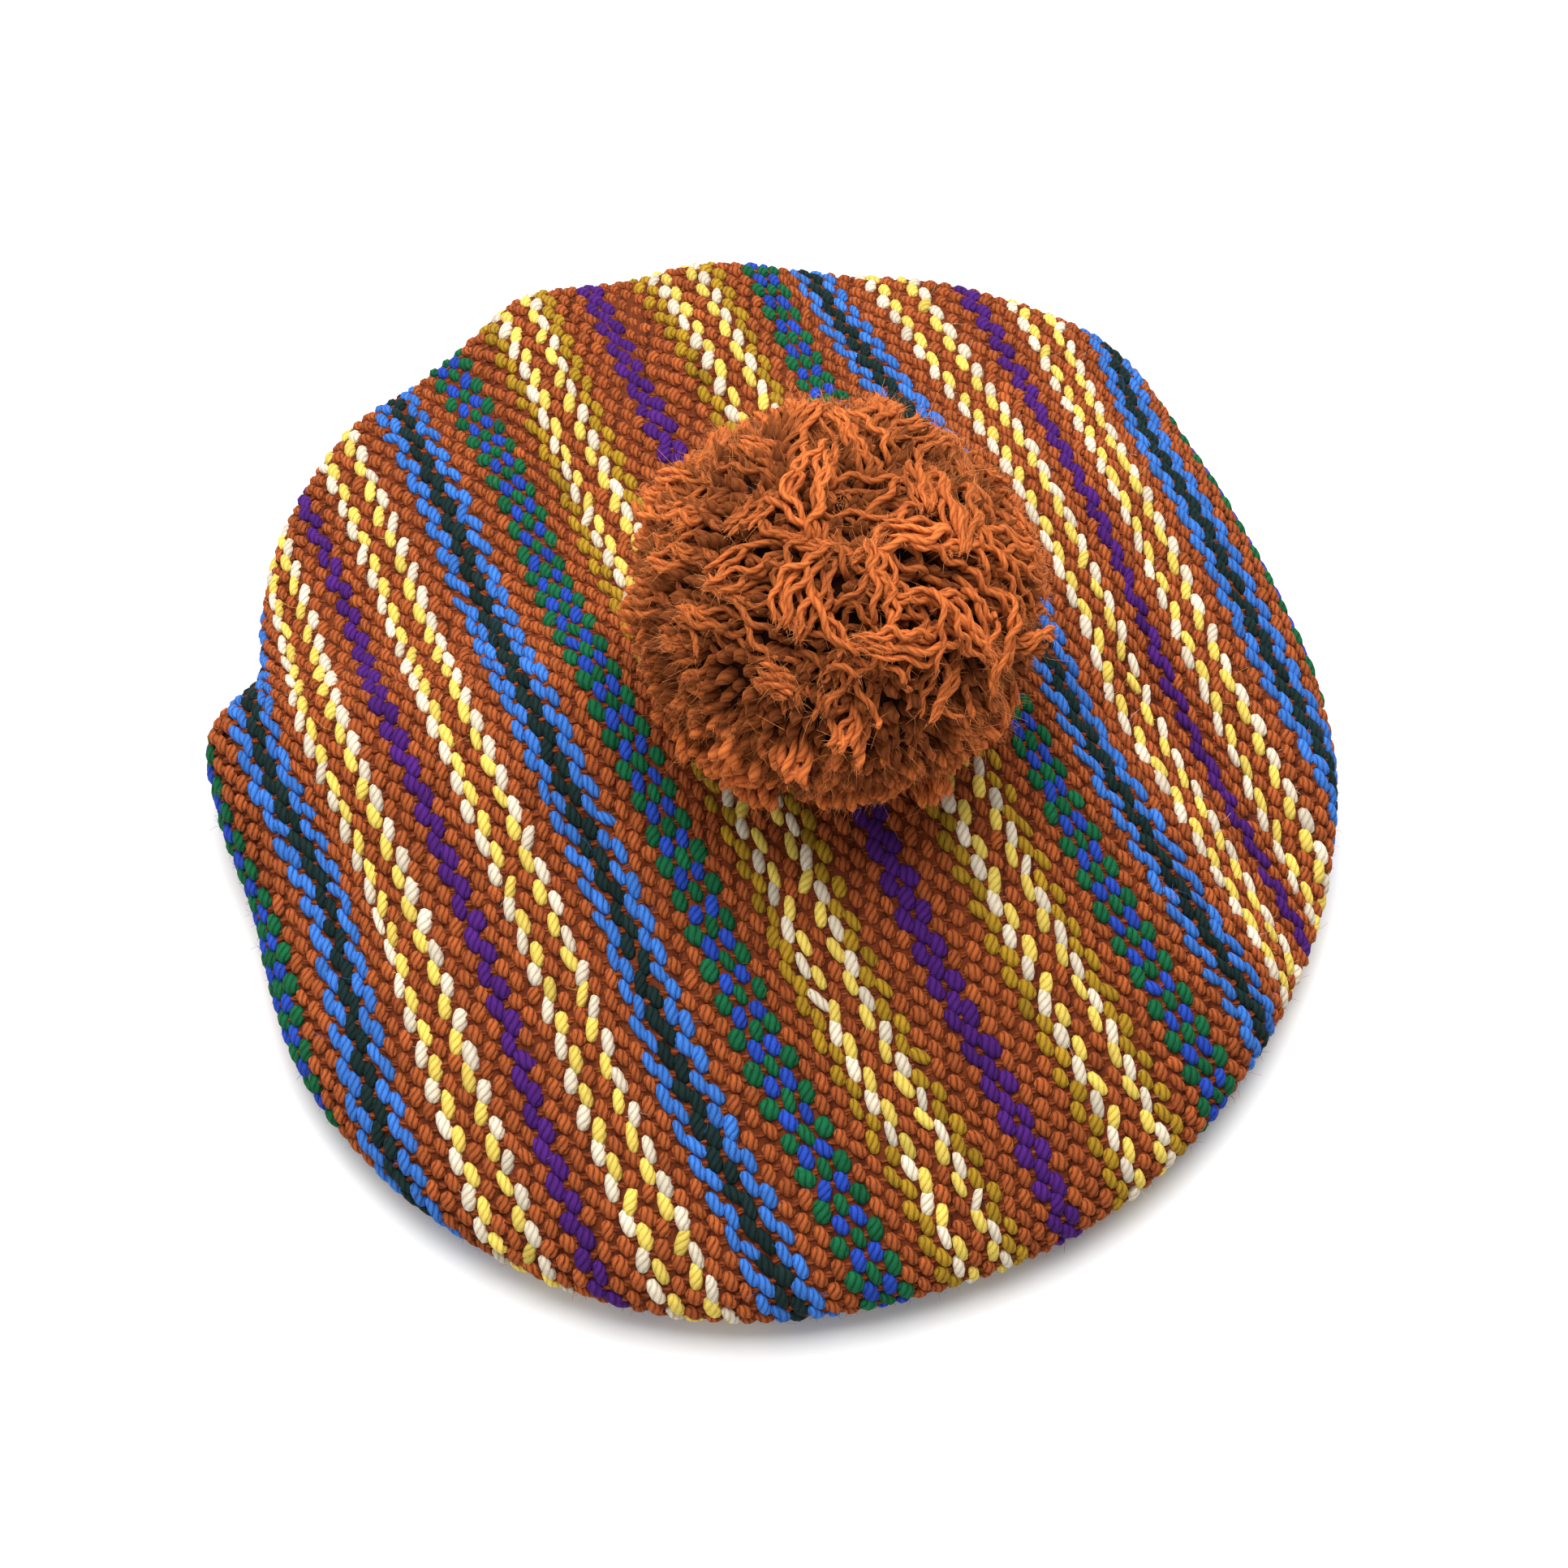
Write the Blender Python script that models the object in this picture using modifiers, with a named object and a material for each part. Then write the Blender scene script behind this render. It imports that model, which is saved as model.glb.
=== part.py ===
"""Pom-pom beret: a domed woven crown, its underside ring, a headband and a pompom.

Units are metres, +Z is up and the headband stands on z = 0. The front of the hat is
towards -Y. The rim's box is centred on the origin.
"""
import math
from collections import namedtuple

import bmesh
import bpy
from mathutils import Vector

MM = 0.001

CLOTH = 3.0 * MM
SEAM_GAP = 0.3 * MM
SPOKES = 60

CROWN_TOP = Vector((14.0 * MM, -5.0 * MM, 57.0 * MM))
ROLL_WIDTH = 8.0 * MM
ROLL_RISE = 6.0 * MM
ROLL_DROP = 9.0 * MM
HEM_INSET = 13.0 * MM
HEM_FLAT = 3.0 * MM
DOME_POWER = 2.0
FOLD_FADE_START = 0.16
FOLD_FADE_END = 0.42
DOME_SHARES = (0.12, 0.24, 0.36, 0.47, 0.57, 0.66, 0.74, 0.81, 0.87, 0.92)
ROLL_TURNS = (0.0, 0.40, 0.72, 1.0)

BAND_CENTRE = Vector((6.0 * MM, -3.0 * MM))
BAND_INNER_RADIUS = 86.0 * MM
BAND_WALL = 3.2 * MM
BAND_HEIGHT = 25.0 * MM
BAND_ROUNDING = 0.8 * MM
UNDER_INNER_HEIGHT = 20.0 * MM
UNDER_STEPS = 3

POMPOM_RADIUS = 47.0 * MM
POMPOM_FLATTEN = 0.90
POMPOM_DIVISIONS = 5
POMPOM_LEAN = Vector((1.0 * MM, -1.5 * MM, 0.0))
FOOT_RADIUS = 16.0 * MM
LOCK_COUNT = 84
LOCK_LENGTH = 12.5 * MM
LOCK_WIDTH = 5.4 * MM
LOCK_RISE = 4.6 * MM
LOCK_TAPER = 0.35
LOCK_BEND = 3.0 * MM
LOCK_LOWEST = -0.62
LOCK_SWIRL = 2.4
LOCK_SWIRL_TURNS = 1.7
LOCK_SWIRL_CLIMB = 1.3
LOCK_NEAR = 0.5
GOLDEN_ANGLE = math.pi * (3.0 - math.sqrt(5.0))

RUST = (0.42, 0.12, 0.025)
DEEP_RUST = (0.33, 0.09, 0.020)
WOOL_ROUGHNESS = 0.9

# Plan outline of the crown: bearing in degrees from +X, reach from the hat's middle
# and height of the rim's outermost line above the table, in millimetres.
RimSection = namedtuple("RimSection", "bearing reach lift")
RIM = (
    RimSection(0, 143, 13),
    RimSection(20, 137, 13),
    RimSection(35, 139, 14),
    RimSection(50, 146, 16),
    RimSection(65, 143, 16),
    RimSection(82, 140, 14),
    RimSection(93, 137, 18),
    RimSection(100, 138, 18),
    RimSection(110, 143, 14),
    RimSection(118, 144, 16),
    RimSection(126, 140, 17),
    RimSection(134, 140, 15),
    RimSection(142, 143, 14),
    RimSection(156, 141, 12),
    RimSection(168, 135, 13),
    RimSection(176, 131, 16),
    RimSection(183, 141, 17),
    RimSection(190, 140, 14),
    RimSection(202, 137, 11),
    RimSection(220, 145, 11),
    RimSection(240, 149, 11),
    RimSection(262, 151, 11),
    RimSection(285, 149, 11),
    RimSection(305, 149, 11),
    RimSection(322, 147, 12),
    RimSection(334, 146, 12),
    RimSection(346, 145, 14),
)

# Folds in the crown: a soft ridge (height above zero) or valley (below) along a path in
# plan, with the reach of its slopes to the left and right of the path, in millimetres.
Fold = namedtuple("Fold", "path height left_reach right_reach")
FOLDS = (
    Fold(((-20, 4), (-66, -25), (-110, -25), (-146, -8)), 8.0, 40, 46),
    Fold(((36, 34), (80, 52), (140, 52)), 5.0, 44, 50),
    Fold(((88, -8), (110, -28), (140, -72)), -6.5, 24, 20),
    Fold(((-14, 92), (-16, 150)), 4.0, 24, 24),
    Fold(((-56, 84), (-74, 134)), 3.5, 22, 24),
    Fold(((-36, 84), (-40, 146)), -2.5, 18, 16),
    Fold(((10, 92), (24, 148)), -3.0, 22, 26),
    Fold(((-78, 80), (-104, 112)), -2.5, 20, 22),
)


def ease(value):
    """Smooth step from 0 to 1."""
    share = min(1.0, max(0.0, value))
    return share * share * (3.0 - 2.0 * share)


def rim_value(bearing, column):
    """Value of a rim column at a bearing, on a smooth closed curve through the rows."""
    count = len(RIM)
    bearing = bearing % 360.0
    row = max(i for i in range(count) if RIM[i].bearing <= bearing)
    rows = [RIM[(row + step) % count] for step in (-1, 0, 1, 2)]
    places = [(r.bearing - RIM[row].bearing + 180.0) % 360.0 - 180.0 for r in rows]
    values = [getattr(r, column) for r in rows]
    span = places[2] - places[1]
    slope_in = (values[2] - values[0]) / (places[2] - places[0])
    slope_out = (values[3] - values[1]) / (places[3] - places[1])
    t = (bearing - RIM[row].bearing) / span
    return (
        values[1] * (2 * t**3 - 3 * t**2 + 1)
        + slope_in * span * (t**3 - 2 * t**2 + t)
        + values[2] * (3 * t**2 - 2 * t**3)
        + slope_out * span * (t**3 - t**2)
    )


def rim_point(bearing):
    """Point on the rim's outermost line at a bearing."""
    reach = rim_value(bearing, "reach") * MM
    angle = math.radians(bearing)
    return Vector((reach * math.cos(angle), reach * math.sin(angle), rim_value(bearing, "lift") * MM))


def fold_spread(fold, x, y):
    """Distance of a plan point from a fold's path, as a share of the fold's reach."""
    spreads = []
    for begin, finish in zip(fold.path, fold.path[1:]):
        start = Vector(begin) * MM
        run = Vector(finish) * MM - start
        offset = Vector((x, y)) - start
        along = min(1.0, max(0.0, offset.dot(run) / run.length_squared))
        is_left = run.x * offset.y - run.y * offset.x > 0.0
        reach = (fold.left_reach if is_left else fold.right_reach) * MM
        spreads.append((offset - run * along).length / reach)
    return min(spreads)


def fold_height(x, y):
    """Height that the folds add at a plan point."""
    return sum(fold.height * MM * (1.0 - ease(fold_spread(fold, x, y))) for fold in FOLDS)


def crown_point(bearing, share, sinks=False):
    """Point on the crown's outer skin, a share of the way from its top to the rim.

    With sinks, the point is on the lower half of the rolled rim.
    """
    rim = rim_point(bearing)
    ray = Vector((rim.x - CROWN_TOP.x, rim.y - CROWN_TOP.y))
    plan = Vector((CROWN_TOP.x, CROWN_TOP.y)) + ray * share
    width = HEM_INSET if sinks else ROLL_WIDTH
    turn = max(0.0, 1.0 - (1.0 - share) * ray.length / width)
    bulge = math.sqrt(max(0.0, 1.0 - turn * turn))
    if sinks:
        return Vector((plan.x, plan.y, rim.z - ROLL_DROP * bulge))
    dome = (CROWN_TOP.z - rim.z - ROLL_RISE) * (1.0 - share**DOME_POWER)
    fade = ease((share - FOLD_FADE_START) / (FOLD_FADE_END - FOLD_FADE_START)) * bulge
    height = rim.z + dome + ROLL_RISE * bulge + fold_height(plan.x, plan.y) * fade
    return Vector((plan.x, plan.y, height))


def crown_profile(bearing):
    """Points of one spoke of the crown, from beside its top round the rim to its hem."""
    rim = rim_point(bearing)
    length = Vector((rim.x - CROWN_TOP.x, rim.y - CROWN_TOP.y)).length
    quarter = math.pi / 2.0
    points = [crown_point(bearing, share) for share in DOME_SHARES]
    for turn in ROLL_TURNS:
        share = 1.0 - ROLL_WIDTH / length * (1.0 - math.sin(turn * quarter))
        points.append(crown_point(bearing, share))
    for turn in ROLL_TURNS[1:]:
        share = 1.0 - HEM_INSET / length * (1.0 - math.cos(turn * quarter))
        points.append(crown_point(bearing, share, sinks=True))
    points.append(crown_point(bearing, 1.0 - (HEM_INSET + HEM_FLAT) / length, sinks=True))
    return points


def under_profile(bearing):
    """Points of one spoke of the underside, from the crown's hem to the headband."""
    rim = rim_point(bearing)
    ray = Vector((rim.x - CROWN_TOP.x, rim.y - CROWN_TOP.y))
    hem_inset = HEM_INSET + HEM_FLAT + SEAM_GAP
    hem = crown_point(bearing, 1.0 - hem_inset / ray.length, sinks=True)
    outward = Vector((hem.x, hem.y)) - BAND_CENTRE
    inner = BAND_CENTRE + outward.normalized() * (BAND_INNER_RADIUS + BAND_WALL + SEAM_GAP)
    start = Vector((hem.x, hem.y))
    flat = HEM_FLAT / (inner - start).length
    points = [hem]
    for step in range(UNDER_STEPS + 1):
        rise = step / UNDER_STEPS
        plan = start.lerp(inner, flat + (1.0 - 2.0 * flat) * rise)
        height = hem.z + (UNDER_INNER_HEIGHT - hem.z) * ease(rise)
        points.append(Vector((plan.x, plan.y, height)))
    points.append(Vector((inner.x, inner.y, UNDER_INNER_HEIGHT)))
    return points


def add_spokes(mesh, profiles, centre=None):
    """Faces between neighbouring spokes, closed over the middle where a centre is given."""
    rings = [[mesh.verts.new(point) for point in profile] for profile in profiles]
    for spoke, here in enumerate(rings):
        there = rings[(spoke + 1) % len(rings)]
        for step in range(len(here) - 1):
            mesh.faces.new((here[step], here[step + 1], there[step + 1], there[step]))
    if centre is not None:
        top = mesh.verts.new(centre)
        for spoke, here in enumerate(rings):
            there = rings[(spoke + 1) % len(rings)]
            mesh.faces.new((top, here[0], there[0]))


def make_material(name, color, roughness):
    """Plain cloth material."""
    material = bpy.data.materials.new(name)
    material.use_nodes = True
    shader = material.node_tree.nodes["Principled BSDF"]
    shader.inputs["Base Color"].default_value = (*color, 1.0)
    shader.inputs["Roughness"].default_value = roughness
    shader.inputs["Metallic"].default_value = 0.0
    return material


def make_object(name, mesh, collection, material, place):
    """Object from a bmesh, shaded smooth, in a collection."""
    data = bpy.data.meshes.new(name)
    mesh.to_mesh(data)
    mesh.free()
    data.shade_smooth()
    data.materials.append(material)
    item = bpy.data.objects.new(name, data)
    item.location = place
    collection.objects.link(item)
    return item


def add_cloth_wall(item):
    """Cloth thickness on the inner side of an open skin."""
    wall = item.modifiers.new("cloth", "SOLIDIFY")
    wall.thickness = CLOTH
    wall.offset = -1.0
    wall.use_even_offset = True
    wall.use_rim = True


def build_crown_top(collection, material, place):
    """Crown with its rolled rim, folds and waves, open below."""
    mesh = bmesh.new()
    bearings = [360.0 * spoke / SPOKES for spoke in range(SPOKES)]
    add_spokes(mesh, [crown_profile(bearing) for bearing in bearings], CROWN_TOP)
    item = make_object("crown_top", mesh, collection, material, place)
    add_cloth_wall(item)
    return item


def build_crown_under(collection, material, place):
    """Ring of cloth from the crown's hem in to the headband."""
    mesh = bmesh.new()
    bearings = [360.0 * spoke / SPOKES for spoke in range(SPOKES)]
    add_spokes(mesh, [under_profile(bearing) for bearing in bearings])
    item = make_object("crown_under", mesh, collection, material, place)
    add_cloth_wall(item)
    return item


def build_headband(collection, material, place):
    """Upright band round the head opening, standing on its lower edge."""
    corners = (
        (BAND_INNER_RADIUS + BAND_WALL, BAND_HEIGHT),
        (BAND_INNER_RADIUS + BAND_WALL, 0.0),
        (BAND_INNER_RADIUS, 0.0),
        (BAND_INNER_RADIUS, BAND_HEIGHT),
    )
    mesh = bmesh.new()
    section = [mesh.verts.new((radius, 0.0, height)) for radius, height in corners]
    for corner, vert in enumerate(section):
        mesh.edges.new((vert, section[(corner + 1) % len(section)]))
    item = make_object("headband", mesh, collection, material, place)
    item.location = place + Vector((BAND_CENTRE.x, BAND_CENTRE.y, 0.0))
    turn = item.modifiers.new("turn", "SCREW")
    turn.steps = SPOKES
    turn.render_steps = SPOKES
    turn.use_merge_vertices = True
    turn.merge_threshold = 0.00001
    edge = item.modifiers.new("rounding", "BEVEL")
    edge.width = BAND_ROUNDING
    edge.segments = 1
    edge.limit_method = "ANGLE"
    return item


def lock_frame(index):
    """Direction of a lock on the pompom, and the way it lies, turning with its place."""
    height = 1.0 - (index + 0.5) * (1.0 - LOCK_LOWEST) / LOCK_COUNT
    ring = math.sqrt(1.0 - height * height)
    angle = index * GOLDEN_ANGLE
    outward = Vector((ring * math.cos(angle), ring * math.sin(angle), height))
    east = Vector((0.0, 0.0, 1.0)).cross(outward).normalized()
    north = outward.cross(east)
    lie = LOCK_SWIRL * math.sin(LOCK_SWIRL_TURNS * angle) + LOCK_SWIRL_CLIMB * height
    along = east * math.cos(lie) + north * math.sin(lie)
    return outward, along


def lock_rise(direction, index):
    """Height of one lock above the pompom's core in a direction from its middle."""
    outward, along = lock_frame(index)
    if direction.dot(outward) <= LOCK_NEAR:
        return 0.0
    core = POMPOM_RADIUS - LOCK_RISE
    offset = (direction - outward) * core
    length = offset.dot(along) / LOCK_LENGTH
    bend = LOCK_BEND * (length * length - 0.5)
    width = (offset.dot(outward.cross(along)) - bend) / (LOCK_WIDTH * (1.0 - LOCK_TAPER * length))
    spread = length * length + width * width
    return LOCK_RISE * math.sqrt(max(0.0, 1.0 - spread))


def build_pompom(collection, material, place):
    """Pompom of yarn locks fused to a round core, flat where it is tied to the crown."""
    core = POMPOM_RADIUS - LOCK_RISE
    foot_drop = math.sqrt(core * core - FOOT_RADIUS * FOOT_RADIUS) * POMPOM_FLATTEN
    mesh = bmesh.new()
    bmesh.ops.create_icosphere(mesh, subdivisions=POMPOM_DIVISIONS, radius=core)
    for vert in mesh.verts:
        direction = vert.co.normalized()
        rise = max(lock_rise(direction, index) for index in range(LOCK_COUNT))
        point = direction * (core + rise)
        vert.co = Vector((point.x, point.y, max(point.z * POMPOM_FLATTEN, -foot_drop)))
    centre = CROWN_TOP + POMPOM_LEAN + Vector((0.0, 0.0, SEAM_GAP + foot_drop))
    return make_object("pompom", mesh, collection, material, place + centre)


def middle_of_rim():
    """Middle of the rim's box in plan."""
    points = [rim_point(360.0 * spoke / SPOKES) for spoke in range(SPOKES)]
    low = [min(point[axis] for point in points) for axis in (0, 1)]
    high = [max(point[axis] for point in points) for axis in (0, 1)]
    return Vector(((low[0] + high[0]) / 2.0, (low[1] + high[1]) / 2.0, 0.0))


def main():
    """Build the hat."""
    for item in list(bpy.data.objects):
        bpy.data.objects.remove(item, do_unlink=True)
    hat = bpy.data.collections.new("pom_pom_beret")
    bpy.context.scene.collection.children.link(hat)
    place = -middle_of_rim()
    build_crown_top(hat, make_material("striped_cloth", RUST, WOOL_ROUGHNESS), place)
    build_crown_under(hat, make_material("under_cloth", RUST, WOOL_ROUGHNESS), place)
    build_headband(hat, make_material("band_cloth", DEEP_RUST, WOOL_ROUGHNESS), place)
    build_pompom(hat, make_material("pompom_yarn", RUST, WOOL_ROUGHNESS), place)


main()
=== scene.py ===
"""Pom-pom beret: woven striped crown, plain underside, headband and yarn pompom.

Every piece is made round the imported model, in metres, with +Z up and the front of the hat
towards -Y. The cloth is modelled yarn by yarn: each place where a warp yarn passes over a
weft yarn is one small closed bead, laid out by the same rim and folds as the crown's solid.
"""
import logging
import math
from collections.abc import Callable
from dataclasses import dataclass, field
from enum import Enum

import bmesh
import bpy
import numpy as np
from mathutils import Matrix, Vector


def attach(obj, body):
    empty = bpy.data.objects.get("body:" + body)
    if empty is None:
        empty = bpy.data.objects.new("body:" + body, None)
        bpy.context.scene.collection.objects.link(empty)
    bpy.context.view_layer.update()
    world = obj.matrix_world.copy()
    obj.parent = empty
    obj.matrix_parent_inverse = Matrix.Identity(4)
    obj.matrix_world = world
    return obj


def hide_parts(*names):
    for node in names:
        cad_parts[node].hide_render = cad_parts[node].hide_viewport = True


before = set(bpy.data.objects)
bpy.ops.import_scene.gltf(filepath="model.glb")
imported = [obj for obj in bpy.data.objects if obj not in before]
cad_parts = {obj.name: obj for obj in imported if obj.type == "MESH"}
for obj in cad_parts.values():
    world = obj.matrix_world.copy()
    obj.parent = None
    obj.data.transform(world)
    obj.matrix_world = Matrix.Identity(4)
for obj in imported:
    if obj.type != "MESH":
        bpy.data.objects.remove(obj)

logging.basicConfig(level=logging.INFO, format="%(name)s: %(message)s")
LOG = logging.getLogger("beret")

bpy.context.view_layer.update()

MM = 0.001
QUARTER_TURN = math.pi / 2.0
FULL_TURN = 2.0 * math.pi
GOLDEN_ANGLE = math.pi * (3.0 - math.sqrt(5.0))

# Usual distance from one warp yarn to the next, and how deep the backing lies under the
# skin and how thick it is.
COLUMN_PITCH = 2.15 * MM
BACKING_SINK = 0.5 * MM
BACKING_WALL = 2.1 * MM

# Loose fibres' lengths have a gamma spread of this shape, so their mean is five scales.
FIBRE_SHAPE = 5.0


@dataclass(frozen=True)
class RimSection:
    """One bearing of the crown's plan outline.

    bearing is in degrees from +X, reach is from the hat's middle and lift is the height of
    the rim's outermost line above the table, both in millimetres.
    """

    bearing: float
    reach: float
    lift: float


@dataclass(frozen=True)
class Fold:
    """A soft ridge, or a valley where its height is below zero, along a path in plan.

    The slopes reach left_reach and right_reach to each side of the path. All in millimetres.
    """

    path: tuple
    height: float
    left_reach: float
    right_reach: float


RIM = (
    RimSection(0, 143, 13),
    RimSection(20, 137, 13),
    RimSection(35, 139, 14),
    RimSection(50, 146, 16),
    RimSection(65, 143, 16),
    RimSection(82, 140, 14),
    RimSection(93, 137, 18),
    RimSection(100, 138, 18),
    RimSection(110, 143, 14),
    RimSection(118, 144, 16),
    RimSection(126, 140, 17),
    RimSection(134, 140, 15),
    RimSection(142, 143, 14),
    RimSection(156, 141, 12),
    RimSection(168, 135, 13),
    RimSection(176, 131, 16),
    RimSection(183, 141, 17),
    RimSection(190, 140, 14),
    RimSection(202, 137, 11),
    RimSection(220, 145, 11),
    RimSection(240, 149, 11),
    RimSection(262, 151, 11),
    RimSection(285, 149, 11),
    RimSection(305, 149, 11),
    RimSection(322, 147, 12),
    RimSection(334, 146, 12),
    RimSection(346, 145, 14),
)

FOLDS = (
    Fold(((-20, 4), (-66, -25), (-110, -25), (-146, -8)), 8.0, 40, 46),
    Fold(((36, 34), (80, 52), (140, 52)), 5.0, 44, 50),
    Fold(((88, -8), (110, -28), (140, -72)), -6.5, 24, 20),
    Fold(((-14, 92), (-16, 150)), 4.0, 24, 24),
    Fold(((-56, 84), (-74, 134)), 3.5, 22, 24),
    Fold(((-36, 84), (-40, 146)), -2.5, 18, 16),
    Fold(((10, 92), (24, 148)), -3.0, 22, 26),
    Fold(((-78, 80), (-104, 112)), -2.5, 20, 22),
)

# Course of the stripes: how far the middle line of a stripe lies across the cloth, in
# millimetres, where it crosses seven stations along the warp from the back to the front.
STATIONS = (-120, -80, -40, 0, 40, 80, 120)
STRIPE_COURSES = {
    -70.0: (-125, -131, -137, -136, -142, -145, -147),
    -61.5: (-108, -113, -119, -118, -124, -128, -130),
    -52.5: (-96, -100, -103, -103, -105, -107, -109),
    -45.5: (-86, -86, -88, -88, -89, -92, -93),
    -38.5: (-72, -73, -74, -74, -74, -76, -75),
    -29.5: (-53, -54, -56, -56, -56, -58, -55),
    -21.0: (-36, -36, -39, -38, -38, -38, -35),
    -10.5: (-15, -18, -19, -18, -17, -17, -12),
    0.0: (7, 4, 4, 5, 6, 6, 10),
    10.5: (30, 28, 28, 29, 30, 31, 35),
    21.0: (52, 48, 48, 49, 50, 52, 58),
    29.5: (66, 64, 65, 65, 64, 69, 77),
    38.5: (86, 83, 83, 82, 81, 85, 92),
    45.5: (104, 100, 96, 94, 92, 95, 102),
    52.5: (120, 115, 109, 106, 104, 105, 110),
    61.5: (139, 133, 124, 123, 123, 127, 131),
    70.0: (156, 150, 141, 140, 140, 144, 148),
}

# Length of cloth from one weft row to the next, in millimetres, at the same stations.
ROW_SPACING = (4.9, 4.6, 3.9, 4.0, 4.4, 4.35, 4.5)

# How far the weft rows bow towards the front, in rows, at some columns of the warp, and the
# station along the warp, in millimetres, from which the rows are counted.
ROW_BOW = {
    -70: -1.0, -55: -0.1, -41: 1.15, -30: 1.25, -10: 1.05,
    10: 1.0, 21: 0.5, 36: -0.35, 50: -0.7, 70: -1.0,
}
ROW_BOW_STATION = 50


def ease(value: np.ndarray) -> np.ndarray:
    """Smooth step from 0 to 1."""
    share = np.clip(value, 0.0, 1.0)
    return share * share * (3.0 - 2.0 * share)


def ramp(value: np.ndarray, reach: tuple) -> np.ndarray:
    """Smooth step from 0 to 1 over a reach, given as its start and its length."""
    return ease((value - reach[0]) / reach[1])


def unit(vectors: np.ndarray) -> np.ndarray:
    """Vectors along the last axis, each of length 1."""
    length = np.linalg.norm(vectors, axis=-1, keepdims=True)
    return vectors / np.maximum(length, 1e-12)


def smooth_curve(places: np.ndarray, values: np.ndarray, at: np.ndarray) -> np.ndarray:
    """Values on a smooth curve through rows of values, straight beyond its two ends.

    Args:
        places: Rising place of each row.
        values: One row for each place, with any number of further axes.
        at: Places to read, in one axis.

    Returns:
        One row for each place in at.
    """
    slopes = np.empty_like(values)
    gaps = (places[2:] - places[:-2]).reshape(-1, *[1] * (values.ndim - 1))
    slopes[1:-1] = (values[2:] - values[:-2]) / gaps
    slopes[0] = (values[1] - values[0]) / (places[1] - places[0])
    slopes[-1] = (values[-1] - values[-2]) / (places[-1] - places[-2])
    row = np.clip(np.searchsorted(places, at, side="right") - 1, 0, len(places) - 2)
    shape = (-1, *[1] * (values.ndim - 1))
    span = (places[row + 1] - places[row]).reshape(shape)
    run = (at - places[row]).reshape(shape) / span
    t = np.clip(run, 0.0, 1.0)
    inside = (
        values[row] * (2 * t**3 - 3 * t**2 + 1)
        + slopes[row] * span * (t**3 - 2 * t**2 + t)
        + values[row + 1] * (3 * t**2 - 2 * t**3)
        + slopes[row + 1] * span * (t**3 - t**2)
    )
    end_slope = np.where(run < 0.0, slopes[row], slopes[row + 1])
    return inside + (run - t) * span * end_slope


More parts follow.
